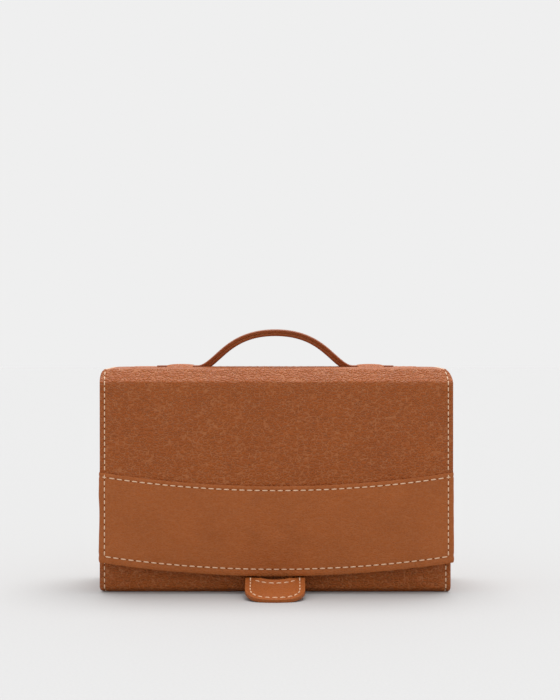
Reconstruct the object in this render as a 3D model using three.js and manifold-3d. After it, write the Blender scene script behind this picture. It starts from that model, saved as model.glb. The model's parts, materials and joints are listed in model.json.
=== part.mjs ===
// A hanging jewellery case in pebbled leather, in millimetres, +Z up, front towards -Y.
// The origin is the centre of the flat face that the case stands on.
//
// One strip of leather runs up the low front wall, along the bottom, up the back, over the lid and down
// the flap. Two soft folds let it open: the lid turns on the back edge, and the flap on the lid's front
// edge. A finger loop sewn behind the flap's lower edge pulls the flap off its magnet, and hangs the open
// case on a hook. Inside are a ring tray, a row of necklace hooks over a gathered pocket, a snap-on ring bar,
// an earring panel, and a zipped pocket on the flap.
import * as THREE from "three";
import { mergeVertices } from "three/addons/utils/BufferGeometryUtils.js";
import Module from "manifold-3d";

const wasm = await Module();
wasm.setup();

// ---- Driving sizes ----
const caseWidth = 218; // the leather strip, side to side
const caseDepth = 66; // outer faces of the front wall and the back
const lidTop = 138.6; // outer face of the lid
const frontWallHeight = 38;
const leather = 1.4;
const board = 1.8;
const flapBoard = 1.4;
const lining = 0.8;
const fit = 0.2; // between layers and between neighbours
const cornerRadius = 4; // where the strip turns from the bottom up the front and the back
const sideInset = 1.6; // the side walls stand in from the strip's edges
const boardMargin = 5; // the boards stop short of the stitched edges

const flapBottomMiddle = 13;
const flapBottomSides = 21.5;
const bandLeather = 1.2;
const bandTopMiddle = 68.7;
const bandTopSides = 77.2;
const bandOverhang = 0.7; // each side, where the band turns over the flap's edge

const foldReach = 4; // how far in from the outer faces the lid's flat part stops
const flapFoldHeight = 6.4; // from the flap's flat part up to the lid's outer face
const lidFoldHeight = 7.6; // the same at the back
const magnetRadius = 8;
const magnetHeight = 28;

const loopWidth = 36.6;
const loopPly = 1.1;
const loopLeg = 6.3; // each side of the hole
const loopHoleRise = 12; // from the fold to the hole's top behind the flap
const loopHoleDip = 5.2; // from the fold to its lowest point in front
const loopEndFlat = 5.8; // across the loop's end, between its round corners
const loopReach = 27; // from the fold under the flap to the loop's end
const loopSlope = THREE.MathUtils.degToRad(20);
const loopAnchorTop = 33;

const handleWidth = 18;
const handleTabLength = 25.5;
const handleFoot = 50; // from the middle to the foot of the arch
const handleRise = 26; // from the lid's face to the top of the arch
const handleThickness = 4.3;
const handleBaseMargin = 17; // from its ends to the case's edges
const handleBaseWidth = 34;
const handleBaseLeather = 1.0;
const handleTabLeather = 1.3;
const keeperInner = 52; // from the middle to the near edge of the loop that holds a handle's end down
const keeperLength = 17;
const keeperLeather = 0.9;

const trayHeight = 29;
const trayWall = 2;
const trayFloor = 1.6;
const ringRollCount = 5;
const ringRollHeight = 18;
const trayMiddle = -2; // the wall between the ring rolls and the small compartments
const hookCount = 4;
const hookWire = 0.9;
const ringBarRadius = 6.5;
const hookBarDrop = 12; // from the side walls' upper edges to the bar with the hooks
const hookBarHeight = 10;
const wallPocketMargin = 5; // from the side linings to what is sewn on the back wall
const wallPocketRise = 10.4; // from the ring tray up to it
const pendantPocketHeight = 36;
const elasticHeight = 5.8;
const earringPanelDrop = 25; // from the ring bar's middle down to the panel's upper edge
const flapPocketMargin = 17;
const flapPocketLow = 50;
const zipDrop = 18.7; // from the flap's upper edge to the zip
const zipEndMargin = 4;
const stepsRound = 6; // segments in a quarter turn

// ---- Places that follow from them ----
const halfWidth = caseWidth / 2;
const halfDepth = caseDepth / 2;
const stackBack = halfDepth - leather - fit; // outer face of the back board
const liningBack = stackBack - board - fit; // outer face of the back lining
const insideBack = liningBack - lining; // inner face of the back lining
const sideOuter = halfWidth - sideInset;
const sideBoardOuter = sideOuter - leather - fit;
const sideLiningOuter = sideBoardOuter - board - fit;
const insideSide = sideLiningOuter - lining;
const floorTop = leather + fit + board + fit + lining; // inner face of the bottom lining
const lidBoardTop = lidTop - leather - fit;
const lidLiningTop = lidBoardTop - board - fit;
const lidUnder = lidLiningTop - lining;
const sideTop = lidUnder - 2 * fit;
const flapTop = lidTop - flapFoldHeight;
const flapGap = 2 * loopPly + 3 * fit; // the loop lies between the flap and the front wall
const flapLiningInner = -halfDepth - flapGap;
const flapBoardInner = flapLiningInner - lining - fit;
const flapLeatherInner = flapBoardInner - flapBoard - fit;
const flapFace = flapLeatherInner - leather;
const bandInner = flapFace - fit;
const bandFace = bandInner - bandLeather;
const lidHalfDepth = halfDepth - foldReach;
const backTop = lidTop - lidFoldHeight; // the back's flat part ends here
const handleTop = lidTop + handleRise;
const trayTop = floorTop + fit + trayHeight;
const wallPocketLow = trayTop + wallPocketRise;
const loopRelief = loopPly + 2 * fit; // from the line the loop turns on to the leather behind it
const loopHinge = { y: bandFace - 1.0, z: flapBottomMiddle - 2.4 };

// ---- Materials ----
const finish = (color, roughness, metalness = 0) =>
  new THREE.MeshStandardMaterial({ color, roughness, metalness });
const pebbledLeather = finish(0x9a5730, 0.55);
const smoothLeather = finish(0xa15c35, 0.5);
const greyboard = finish(0x8f8b84, 0.9);
const suede = finish(0xd9c4ae, 0.95);
const brass = finish(0xd4ab5a, 0.25, 1);
const magnetSteel = finish(0xb8babd, 0.3, 1);
const zipTape = finish(0xb98a63, 0.85);

// ---- Building blocks ----
const caseGroup = new THREE.Group();

function addPiece(name, geometry, material) {
  const mesh = new THREE.Mesh(geometry, material);
  mesh.name = name;
  caseGroup.add(mesh);
  return mesh;
}

// An outline in X and Z, made solid from y = front to y = back.
function panelFacingFront(outline, front, back) {
  return new THREE.ExtrudeGeometry(outline, {
    depth: back - front,
    bevelEnabled: false,
    curveSegments: 2 * stepsRound,
  })
    .rotateX(Math.PI / 2)
    .translate(0, back, 0);
}

// An outline in Y and Z, made solid from x = left to x = right.
function panelFacingSide(outline, left, right) {
  const turn = new THREE.Matrix4().makeBasis(
    new THREE.Vector3(0, 1, 0),
    new THREE.Vector3(0, 0, 1),
    new THREE.Vector3(1, 0, 0),
  );
  return new THREE.ExtrudeGeometry(outline, {
    depth: right - left,
    bevelEnabled: false,
    curveSegments: stepsRound,
  })
    .applyMatrix4(turn)
    .translate(left, 0, 0);
}

// An outline in X and Y, made solid from z = low to z = high.
function panelLyingFlat(outline, low, high) {
  return new THREE.ExtrudeGeometry(outline, {
    depth: high - low,
    bevelEnabled: false,
    curveSegments: stepsRound,
  }).translate(0, 0, low);
}

function block(x0, x1, y0, y1, z0, z1) {
  return new THREE.BoxGeometry(x1 - x0, y1 - y0, z1 - z0).translate(
    (x0 + x1) / 2,
    (y0 + y1) / 2,
    (z0 + z1) / 2,
  );
}

function roundedRectangle(x0, x1, y0, y1, radius) {
  const s = new THREE.Shape();
  s.moveTo(x0 + radius, y0);
  s.lineTo(x1 - radius, y0);
  s.absarc(x1 - radius, y0 + radius, radius, -Math.PI / 2, 0);
  s.lineTo(x1, y1 - radius);
  s.absarc(x1 - radius, y1 - radius, radius, 0, Math.PI / 2);
  s.lineTo(x0 + radius, y1);
  s.absarc(x0 + radius, y1 - radius, radius, Math.PI / 2, Math.PI);
  s.lineTo(x0, y0 + radius);
  s.absarc(x0 + radius, y0 + radius, radius, Math.PI, 1.5 * Math.PI);
  return s;
}

function solidOf(geometry) {
  const bare = geometry.clone();
  bare.deleteAttribute("normal");
  bare.deleteAttribute("uv");
  const merged = mergeVertices(bare, 1e-4);
  return new wasm.Manifold(
    new wasm.Mesh({
      numProp: 3,
      vertProperties: merged.attributes.position.array,
      triVerts: new Uint32Array(merged.index.array),
    }),
  );
}

function cutOut(geometry, ...tools) {
  const left = tools.reduce((s, t) => s.subtract(solidOf(t)), solidOf(geometry));
  const mesh = left.getMesh();
  return new THREE.BufferGeometry()
    .setAttribute("position", new THREE.BufferAttribute(mesh.vertProperties, 3))
    .setIndex(new THREE.BufferAttribute(mesh.triVerts, 1));
}

// A disc on the Y axis through (x, z), from y = front to y = back.
function disc(x, z, radius, front, back) {
  return new THREE.CylinderGeometry(radius, radius, back - front, 4 * stepsRound).translate(
    x,
    (front + back) / 2,
    z,
  );
}

// ---- The body: one strip of leather round three boards, with two side walls ----
function bodyWrap() {
  const inner = cornerRadius - leather;
  const corner = halfDepth - cornerRadius;
  const s = new THREE.Shape();
  s.moveTo(-halfDepth, frontWallHeight);
  s.lineTo(-halfDepth, cornerRadius);
  s.absarc(-corner, cornerRadius, cornerRadius, Math.PI, 1.5 * Math.PI);
  s.lineTo(corner, 0);
  s.absarc(corner, cornerRadius, cornerRadius, -Math.PI / 2, 0);
  s.lineTo(halfDepth, backTop);
  s.lineTo(halfDepth - leather, backTop);
  s.lineTo(halfDepth - leather, cornerRadius);
  s.absarc(corner, cornerRadius, inner, 0, -Math.PI / 2, true);
  s.lineTo(-corner, leather);
  s.absarc(-corner, cornerRadius, inner, -Math.PI / 2, -Math.PI, true);
  s.lineTo(-halfDepth + leather, frontWallHeight);
  addPiece("body_wrap", panelFacingSide(s, -halfWidth, halfWidth), pebbledLeather);
}

function bodyBoards() {
  const half = insideSide - 2 * fit;
  const lowest = cornerRadius + 2;
  const front = block(
    -half, half, -stackBack, -liningBack - fit, lowest, frontWallHeight - 2,
  );
  const hole = disc(0, magnetHeight, magnetRadius + fit, -stackBack - 1, -liningBack + 1);
  addPiece("front_board", cutOut(front, hole), greyboard);
  addPiece(
    "body_magnet",
    disc(0, magnetHeight, magnetRadius, -stackBack, -liningBack - fit),
    magnetSteel,
  );
  const floorHalf = halfDepth - cornerRadius - 2;
  addPiece(
    "bottom_board",
    block(-half, half, -floorHalf, floorHalf, leather + fit, leather + fit + board),
    greyboard,
  );
  addPiece(
    "back_board",
    block(-half, half, liningBack + fit, stackBack, lowest, backTop - 2),
    greyboard,
  );
}

function bodyLinings() {
  const half = insideSide - fit;
  const frontIn = -liningBack;
  addPiece(
    "back_lining",
    block(-half, half, insideBack, liningBack, floorTop + fit, sideTop - 1),
    suede,
  );
  addPiece(
    "bottom_lining",
    block(-half, half, -insideBack + fit, insideBack - fit, floorTop - lining, floorTop),
    suede,
  );
  addPiece(
    "front_lining",
    block(-half, half, frontIn, frontIn + lining, floorTop + fit, frontWallHeight - 1),
    suede,
  );
}

// A side wall's outline in Y and Z. It stops at -back behind the front wall, and reaches -front above it.
function sideOutline(front, back, low, high, radius) {
  const step = frontWallHeight + 2 * fit;
  const s = new THREE.Shape();
  s.moveTo(-back, low + radius);
  s.absarc(-back + radius, low + radius, radius, Math.PI, 1.5 * Math.PI);
  s.lineTo(back - radius, low);
  s.absarc(back - radius, low + radius, radius, -Math.PI / 2, 0);
  s.lineTo(back, high - 2 * radius);
  s.absarc(back - 2 * radius, high - 2 * radius, 2 * radius, 0, Math.PI / 2);
  s.lineTo(-front + radius, high);
  s.absarc(-front + radius, high - radius, radius, Math.PI / 2, Math.PI);
  s.lineTo(-front, step);
  s.lineTo(-back, step);
  return s;
}

function sideWalls() {
  const round = cornerRadius - leather - fit;
  const outer = halfDepth - leather - fit;
  const leatherOutline = sideOutline(halfDepth, outer, leather + fit, sideTop, round);
  const boardOutline = sideOutline(
    halfDepth - 2, liningBack - fit, cornerRadius + 2, sideTop - 2, round,
  );
  const liningOutline = sideOutline(
    halfDepth - 0.4, insideBack - fit, floorTop + fit, sideTop - 0.6, round,
  );
  for (const [side, sign] of [["left", -1], ["right", 1]]) {
    const layer = (outline, from, thickness) =>
      panelFacingSide(
        outline,
        Math.min(sign * from, sign * (from - thickness)),
        Math.max(sign * from, sign * (from - thickness)),
      );
    addPiece(`side_leather_${side}`, layer(leatherOutline, sideOuter, leather), pebbledLeather);
    addPiece(`side_board_${side}`, layer(boardOutline, sideBoardOuter, board), greyboard);
    addPiece(`side_lining_${side}`, layer(liningOutline, sideLiningOuter, lining), suede);
  }
}

// ---- What the body holds ----
function ringTray() {
  const half = insideSide - 3 * fit;
  const deep = insideBack - 3 * fit;
  const low = floorTop + fit;
  const high = low + trayHeight;
  const pocketLow = low + trayFloor;
  const pocket = (x0, x1, y0, y1) => block(x0, x1, y0, y1, pocketLow, high + 1);
  const rightMiddle = (trayMiddle + half) / 2;
  const w = trayWall;
  const rollsPocket = pocket(-half + w, trayMiddle - w / 2, -deep + w, deep - w);
  const compartments = [
    [trayMiddle + w / 2, rightMiddle - w / 2],
    [rightMiddle + w / 2, half - w],
  ].flatMap(([x0, x1]) => [
    pocket(x0, x1, -deep + w, -w / 2),
    pocket(x0, x1, w / 2, deep - w),
  ]);
  const tray = cutOut(block(-half, half, -deep, deep, low, high), rollsPocket, ...compartments);
  addPiece("ring_tray", tray, suede);

  // Padded rolls that hold rings in the slits between them.
  const pitch = (2 * (deep - w)) / ringRollCount;
  const radius = (pitch - 2 * fit) / 2;
  const rollLow = pocketLow + fit;
  for (let i = 0; i < ringRollCount; i += 1) {
    const y = -deep + w + pitch * (i + 0.5);
    const s = new THREE.Shape();
    s.moveTo(y - radius, rollLow);
    s.lineTo(y + radius, rollLow);
    s.lineTo(y + radius, rollLow + ringRollHeight - radius);
    s.absarc(y, rollLow + ringRollHeight - radius, radius, 0, Math.PI);
    addPiece(
      `ring_roll_${i + 1}`,
      panelFacingSide(s, -half + w + fit, trayMiddle - w / 2 - fit),
      suede,
    );
  }
}

const necklaceBar = {
  x0: trayMiddle + 4,
  x1: insideSide - wallPocketMargin,
  z0: sideTop - hookBarDrop - hookBarHeight,
  z1: sideTop - hookBarDrop,
  depth: 8,
};

function necklaceHooks() {
  const face = insideBack - fit - necklaceBar.depth;
  addPiece(
    "necklace_bar",
    panelFacingFront(
      roundedRectangle(necklaceBar.x0, necklaceBar.x1, necklaceBar.z0, necklaceBar.z1, 3),
      face,
      insideBack - fit,
    ),
    smoothLeather,
  );
  const section = new THREE.Shape();
  section.absarc(0, 0, hookWire, 0, 2 * Math.PI);
  const spacing = (necklaceBar.x1 - necklaceBar.x0) / hookCount;
  const z = (necklaceBar.z0 + necklaceBar.z1) / 2;
  for (let i = 0; i < hookCount; i += 1) {
    const x = necklaceBar.x0 + spacing * (i + 0.5);
    const wire = new THREE.CubicBezierCurve3(
      new THREE.Vector3(x, face - fit, z),
      new THREE.Vector3(x, face - 6, z),
      new THREE.Vector3(x, face - 10, z - 6),
      new THREE.Vector3(x, face - 10, z + 4),
    );
    addPiece(
      `necklace_hook_${i + 1}`,
      new THREE.ExtrudeGeometry(section, { steps: 10, curveSegments: 4, extrudePath: wire }),
      brass,
    );
  }
}

function backWallPockets() {
  const back = insideBack - fit;
  const { x0, x1 } = necklaceBar;
  const low = wallPocketLow;
  const high = low + pendantPocketHeight;
  const earringPanelHigh = (necklaceBar.z0 + necklaceBar.z1) / 2 - earringPanelDrop;
  addPiece(
    "pendant_pocket",
    panelFacingFront(roundedRectangle(x0, x1, low, high, 3), back - necklaceBar.depth, back),
    suede,
  );
  addPiece(
    "pocket_elastic",
    panelFacingFront(
      roundedRectangle(x0, x1, high + fit, high + fit + elasticHeight, 1.5), back - 6, back,
    ),
    smoothLeather,
  );
  addPiece(
    "earring_panel",
    panelFacingFront(
      roundedRectangle(-x1, trayMiddle - 10, low, earringPanelHigh, 4), back - 1.6, back,
    ),
    smoothLeather,
  );
}

// The ring bar hangs on a stud near the back wall's left edge, and its other end snaps onto a post.
const ringBarHinge = {
  x: -insideSide + 10,
  y: insideBack - 11.6,
  z: (necklaceBar.z0 + necklaceBar.z1) / 2,
};
const ringBarPost = trayMiddle - 5;
const ringBarStart = 9; // from the stud to the roll
const studShaft = 1.6;
const studHead = 3.4;

// A short strap along X whose rounded end is centred on the stud or the post.
function ringBarStrap(name, centre, way) {
  const { y, z } = ringBarHinge;
  const half = 5;
  const s = new THREE.Shape();
  s.moveTo(centre + way * (ringBarStart - fit), z + way * half);
  s.lineTo(centre, z + way * half);
  s.absarc(centre, z, half, (way * Math.PI) / 2, (way * 3 * Math.PI) / 2);
  s.lineTo(centre + way * (ringBarStart - fit), z - way * half);
  const strap = panelFacingFront(s, y - 0.8, y + 0.8);
  addPiece(name, cutOut(strap, disc(centre, z, studShaft + fit, y - 2, y + 2)), smoothLeather);
}

// A turned stud that stands on the back wall, with a head in front of the strap.
function ringBarStud(name, centre) {
  const { y, z } = ringBarHinge;
  const foot = insideBack - fit - y;
  const clear = 0.8 + fit;
  const profile = [
    [0, -clear - 1.6],
    [studHead - 0.6, -clear - 1.6],
    [studHead, -clear - 1.0],
    [studHead, -clear],
    [studShaft, -clear],
    [studShaft, clear],
    [studHead, clear],
    [studHead, foot],
    [0, foot],
  ].map(([r, h]) => new THREE.Vector2(r, h));
  addPiece(name, new THREE.LatheGeometry(profile, 4 * stepsRound).translate(centre, y, z), brass);
}

function ringBar() {
  const { x, y, z } = ringBarHinge;
  const rollStart = x + ringBarStart;
  const r = ringBarRadius;
  const end = r * 0.6;
  const length = ringBarPost - x - 2 * ringBarStart;
  const profile = new THREE.Path();
  profile.moveTo(0, 0);
  profile.lineTo(r - 2, 0);
  profile.quadraticCurveTo(r, 0, r, end);
  profile.lineTo(r, length - end);
  profile.quadraticCurveTo(r, length, r - 2, length);
  profile.lineTo(0, length);
  const roll = new THREE.LatheGeometry(profile.getPoints(3), 16)
    .rotateZ(-Math.PI / 2)
    .translate(rollStart, y, z);
  addPiece("ring_bar_roll", roll, suede);
  ringBarStrap("ring_bar_strap_left", x, 1);
  ringBarStrap("ring_bar_strap_right", ringBarPost, -1);
  ringBarStud("ring_bar_stud", x);
  addPiece(
    "ring_bar_snap_cap",
    disc(ringBarPost, z, studHead + 0.6, y - 0.8 - fit - 2, y - 0.8 - fit),
    brass,
  );
  addPiece(
    "ring_bar_snap_post",
    disc(ringBarPost, z, studHead, y + 0.8 + fit, insideBack - fit),
    brass,
  );
}

// ---- The lid and its handle ----
function lid() {
  const half = halfWidth;
  const deep = lidHalfDepth;
  addPiece(
    "lid_leather",
    block(-half, half, -deep, deep, lidTop - leather, lidTop),
    pebbledLeather,
  );
  addPiece(
    "lid_board",
    block(
      -half + boardMargin, half - boardMargin, -deep + 2, deep - 2, lidBoardTop - board, lidBoardTop,
    ),
    greyboard,
  );
  addPiece(
    "lid_lining",
    block(-half + 2, half - 2, -deep, deep, lidUnder, lidLiningTop),
    suede,
  );
}

function handleBase() {
  const low = lidTop + fit;
  addPiece(
    "handle_base",
    panelLyingFlat(
      roundedRectangle(
        -halfWidth + handleBaseMargin, halfWidth - handleBaseMargin,
        -handleBaseWidth / 2, handleBaseWidth / 2, handleBaseWidth / 4,
      ),
      low,
      low + handleBaseLeather,
    ),
    smoothLeather,
  );
}

const handleSeat = lidTop + fit + handleBaseLeather + fit; // what the handle's tabs and feet lie on

function handleTabs() {
  const half = handleWidth / 2;
  for (const [side, sign] of [["left", -1], ["right", 1]]) {
    const inner = sign * (handleFoot + fit);
    const outer = sign * (handleFoot + fit + handleTabLength - half);
    const s = new THREE.Shape();
    s.moveTo(inner, -sign * half);
    s.lineTo(outer, -sign * half);
    s.absarc(outer, 0, half, (-sign * Math.PI) / 2, (sign * Math.PI) / 2);
    s.lineTo(inner, sign * half);
    addPiece(
      `handle_tab_${side}`,
      panelLyingFlat(s, handleSeat, handleSeat + handleTabLeather),
      smoothLeather,
    );
  }
}

// Low leather loops over the handle's ends, sewn down on both sides of them.
function handleKeepers() {
  const inner = handleWidth / 2 + fit;
  const foot = handleWidth / 2 + 5;
  const under = handleSeat + handleTabLeather + fit;
  const s = new THREE.Shape();
  s.moveTo(-foot, handleSeat);
  s.lineTo(-inner, handleSeat);
  s.lineTo(-inner, under);
  s.lineTo(inner, under);
  s.lineTo(inner, handleSeat);
  s.lineTo(foot, handleSeat);
  s.lineTo(foot, handleSeat + keeperLeather);
  s.quadraticCurveTo(inner + 1, under + keeperLeather, 0, under + keeperLeather);
  s.quadraticCurveTo(-inner - 1, under + keeperLeather, -foot, handleSeat + keeperLeather);
  const outer = keeperInner + keeperLength;
  addPiece("handle_keeper_left", panelFacingSide(s, -outer, -keeperInner), smoothLeather);
  addPiece("handle_keeper_right", panelFacingSide(s, keeperInner, outer), smoothLeather);
}

// One curve of the arch, from foot to foot: it leaves the lid level, and passes the top level.
// drop is how far the curve lies under the handle's upper face at the top.
function archCurve(path, foot, seat, top, leftToRight) {
  const way = leftToRight ? 1 : -1;
  const level = 0.77 * foot; // handles of the two cubics
  const crown = 0.66 * foot;
  path.bezierCurveTo(-way * level, seat, -way * crown, top, 0, top);
  path.bezierCurveTo(way * crown, top, way * level, seat, way * foot, seat);
}

function handleArch() {
  const half = handleWidth / 2;
  const upperSeat = handleSeat + handleTabLeather;
  const innerFoot = handleFoot - 8;
  const middleFoot = handleFoot - 4;
  const middleTop = handleTop - handleThickness / 2;
  const upper = new THREE.Shape();
  upper.moveTo(-handleFoot, handleSeat);
  upper.lineTo(-handleFoot, upperSeat);
  archCurve(upper, handleFoot, upperSeat, handleTop, true);
  upper.lineTo(handleFoot, handleSeat);
  upper.lineTo(middleFoot + fit, handleSeat);
  archCurve(upper, middleFoot + fit, handleSeat, middleTop + fit / 2, false);
  addPiece("handle_upper_strap", panelFacingFront(upper, -half, half), smoothLeather);

  const lower = new THREE.Shape();
  lower.moveTo(-middleFoot + fit, handleSeat);
  archCurve(lower, middleFoot - fit, handleSeat, middleTop - fit / 2, true);
  lower.lineTo(innerFoot, handleSeat);
  archCurve(lower, innerFoot, handleSeat, handleTop - handleThickness, false);
  addPiece("handle_lower_strap", panelFacingFront(lower, -half, half), smoothLeather);
}

// ---- The flap ----
// The flap's outline, moved in from its edges by inset, up to top.
function flapOutline(inset, top) {
  const half = halfWidth - inset;
  const sides = flapBottomSides + inset;
  const middle = flapBottomMiddle + inset;
  const s = new THREE.Shape();
  s.moveTo(-half, top);
  s.lineTo(-half, sides);
  s.quadraticCurveTo(0, 2 * middle - sides, half, sides);
  s.lineTo(half, top);
  return s;
}

function flap() {
  addPiece(
    "flap_leather",
    panelFacingFront(flapOutline(0, flapTop), flapFace, flapLeatherInner),
    pebbledLeather,
  );
  const boardPanel = panelFacingFront(
    flapOutline(boardMargin, flapTop - 2), flapBoardInner - flapBoard, flapBoardInner,
  );
  const hole = disc(
    0, magnetHeight, magnetRadius + fit, flapBoardInner - flapBoard - 1, flapBoardInner + 1,
  );
  addPiece("flap_board", cutOut(boardPanel, hole), greyboard);
  addPiece(
    "flap_magnet",
    disc(0, magnetHeight, magnetRadius, flapBoardInner - flapBoard, flapBoardInner),
    magnetSteel,
  );
  addPiece(
    "flap_lining",
    panelFacingFront(flapOutline(0.4, flapTop), flapLiningInner - lining, flapLiningInner),
    suede,
  );

  const half = halfWidth + bandOverhang;
  const band = new THREE.Shape();
  band.moveTo(-half, bandTopSides);
  band.lineTo(-half, flapBottomSides);
  band.quadraticCurveTo(0, 2 * flapBottomMiddle - flapBottomSides, half, flapBottomSides);
  band.lineTo(half, bandTopSides);
  band.quadraticCurveTo(0, 2 * bandTopMiddle - bandTopSides, -half, bandTopSides);
  addPiece("flap_band", panelFacingFront(band, bandFace, bandInner), smoothLeather);
}

// ---- The zipped pocket on the flap's inside ----
const zip = { tape: 0.6, tapeHeight: 4, chainHeight: 2.8, chainDepth: 1.6, sliderMargin: 6 };

function flapPocket() {
  const base = flapLiningInner + fit;
  const half = halfWidth - flapPocketMargin;
  const chainHalf = half - zipEndMargin;
  const zipHeight = flapTop - zipDrop;
  const chainLow = zipHeight - zip.chainHeight / 2;
  const chainHigh = zipHeight + zip.chainHeight / 2;
  const pocketHigh = chainLow - zip.tapeHeight - 2 * fit;
  addPiece(
    "pocket_panel",
    panelFacingFront(roundedRectangle(-half, half, flapPocketLow, pocketHigh, 4), base, base + 1),
    suede,
  );
  const tape = (z0) => block(-half, half, base, base + zip.tape, z0, z0 + zip.tapeHeight);
  addPiece("zip_tape_lower", tape(chainLow - zip.tapeHeight - fit), zipTape);
  addPiece("zip_tape_upper", tape(chainHigh + fit), zipTape);
  addPiece(
    "zip_chain",
    block(-chainHalf, chainHalf, base, base + zip.chainDepth, chainLow, chainHigh),
    brass,
  );
  const sliderFace = base + zip.chainDepth + fit;
  const x = -chainHalf + zip.sliderMargin;
  addPiece(
    "zip_slider",
    panelFacingFront(
      roundedRectangle(x - 4.5, x + 4.5, zipHeight - 3.4, zipHeight + 3.4, 2), sliderFace, sliderFace + 1.8,
    ),
    brass,
  );
  addPiece(
    "zip_pull",
    panelFacingFront(
      roundedRectangle(x - 2.6, x + 2.6, zipHeight - 24, zipHeight - 3.4 - fit, 1.4),
      sliderFace,
      sliderFace + 1,
    ),
    brass,
  );
}

// ---- The loop under the flap's lower edge ----
function loopAnchor() {
  const half = loopWidth / 2;
  const holeHalf = half - loopLeg;
  const front = flapLiningInner + 1.5 * fit;
  const back = front + 2 * loopPly;
  const under = loopHinge.z - loopPly; // the legs pass under the flap's edge here
  const over = loopHinge.z + loopPly;
  const side = new THREE.Shape();
  side.moveTo(back, under);
  side.lineTo(back, loopAnchorTop);
  side.lineTo(front, loopAnchorTop);
  side.lineTo(front, over);
  side.lineTo(loopHinge.y + loopRelief, over);
  side.lineTo(loopHinge.y + loopRelief, under);
  const legs = panelFacingSide(side, -half, half);
  const holeTop = loopHinge.z + loopHoleRise;
  const hole = new THREE.Shape();
  hole.moveTo(-holeHalf, under - 1);
  hole.lineTo(holeHalf, under - 1);
  hole.lineTo(holeHalf, holeTop - holeHalf / 2);
  hole.quadraticCurveTo(holeHalf, holeTop, 0, holeTop);
  hole.quadraticCurveTo(-holeHalf, holeTop, -holeHalf, holeTop - holeHalf / 2);
  addPiece(
    "loop_anchor",
    cutOut(legs, panelFacingFront(hole, loopHinge.y - 1, back + 1)),
    smoothLeather,
  );
}

// The loop's outline beyond the fold: across it in x, away from the fold in -y, with the hole's lower edge.
function loopOutline() {
  const half = loopWidth / 2;
  const holeHalf = half - loopLeg - 2 * fit;
  const round = half - loopEndFlat / 2;
  const start = -2 * fit;
  const s = new THREE.Shape();
  s.moveTo(-half, start);
  s.lineTo(-half, -loopReach + round);
  s.quadraticCurveTo(-half, -loopReach, -half + round, -loopReach);
  s.lineTo(half - round, -loopReach);
  s.quadraticCurveTo(half, -loopReach, half, -loopReach + round);
  s.lineTo(half, start);
  s.lineTo(holeHalf, start);
  s.quadraticCurveTo(0, start - 2 * loopHoleDip, -holeHalf, start);
  return s;
}

function hangLoop() {
  const plies = new THREE.Group();
  plies.position.set(0, loopHinge.y, loopHinge.z);
  plies.rotation.x = loopSlope;
  const place = (name, low) => {
    const mesh = addPiece(name, panelLyingFlat(loopOutline(), low, low + loopPly), smoothLeather);
    plies.add(mesh);
  };
  place("loop_upper_ply", fit / 2);
  place("loop_lower_ply", -loopPly - fit / 2);
  caseGroup.add(plies);
}

// ---- The two soft folds ----
// A strip of the leather from a to b in Y and Z, bent through the corner point.
function foldStrip(name, a, corner, b) {
  const curve = new THREE.QuadraticBezierCurve(
    new THREE.Vector2(a.y, a.z),
    new THREE.Vector2(corner.y, corner.z),
    new THREE.Vector2(b.y, b.z),
  );
  const count = 2 * stepsRound;
  const side = (offset) =>
    Array.from({ length: count + 1 }, (_, i) => {
      const t = curve.getTangent(i / count);
      return curve.getPoint(i / count).add(new THREE.Vector2(-t.y, t.x).multiplyScalar(offset));
    });
  const outline = new THREE.Shape([...side(leather / 2), ...side(-leather / 2).reverse()]);
  addPiece(name, panelFacingSide(outline, -halfWidth, halfWidth), pebbledLeather);
}

function folds() {
  const lidMiddle = lidTop - leather / 2;
  const flapMiddle = (flapFace + flapLeatherInner) / 2;
  foldStrip(
    "flap_fold_leather",
    { y: -lidHalfDepth - fit, z: lidMiddle },
    { y: flapMiddle, z: lidMiddle + 1 },
    { y: flapMiddle, z: flapTop + fit },
  );
  foldStrip(
    "lid_fold_leather",
    { y: halfDepth - leather / 2, z: backTop + fit },
    { y: halfDepth - leather / 2, z: lidMiddle },
    { y: lidHalfDepth + fit, z: lidMiddle },
  );
}

bodyWrap();
bodyBoards();
bodyLinings();
sideWalls();
ringTray();
necklaceHooks();
backWallPockets();
ringBar();
lid();
handleBase();
handleTabs();
handleKeepers();
handleArch();
flap();
flapPocket();
loopAnchor();
hangLoop();
folds();

export default caseGroup;
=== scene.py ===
import json
import math

import bmesh
import bpy
from mathutils import Matrix, Vector, noise


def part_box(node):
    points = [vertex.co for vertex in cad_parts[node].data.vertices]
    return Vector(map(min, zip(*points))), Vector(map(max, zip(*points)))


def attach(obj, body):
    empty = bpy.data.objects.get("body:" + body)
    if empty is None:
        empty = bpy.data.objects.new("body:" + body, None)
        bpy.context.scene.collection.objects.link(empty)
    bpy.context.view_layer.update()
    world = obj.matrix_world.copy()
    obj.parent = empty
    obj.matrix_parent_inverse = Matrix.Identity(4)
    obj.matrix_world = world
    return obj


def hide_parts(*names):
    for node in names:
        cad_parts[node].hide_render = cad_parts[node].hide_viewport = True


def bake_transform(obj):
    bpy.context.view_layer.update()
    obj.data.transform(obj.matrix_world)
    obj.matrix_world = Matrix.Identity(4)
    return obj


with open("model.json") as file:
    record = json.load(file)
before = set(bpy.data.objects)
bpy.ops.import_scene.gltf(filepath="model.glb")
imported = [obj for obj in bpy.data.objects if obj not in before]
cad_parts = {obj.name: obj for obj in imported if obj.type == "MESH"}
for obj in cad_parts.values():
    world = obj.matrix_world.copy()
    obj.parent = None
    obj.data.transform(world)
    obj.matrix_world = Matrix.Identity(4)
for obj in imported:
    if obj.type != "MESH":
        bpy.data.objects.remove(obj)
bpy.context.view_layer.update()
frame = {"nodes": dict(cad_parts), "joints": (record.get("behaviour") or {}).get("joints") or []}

# Sizes here are in millimetres, and become metres where a mesh is written.
mm = 0.001
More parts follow.
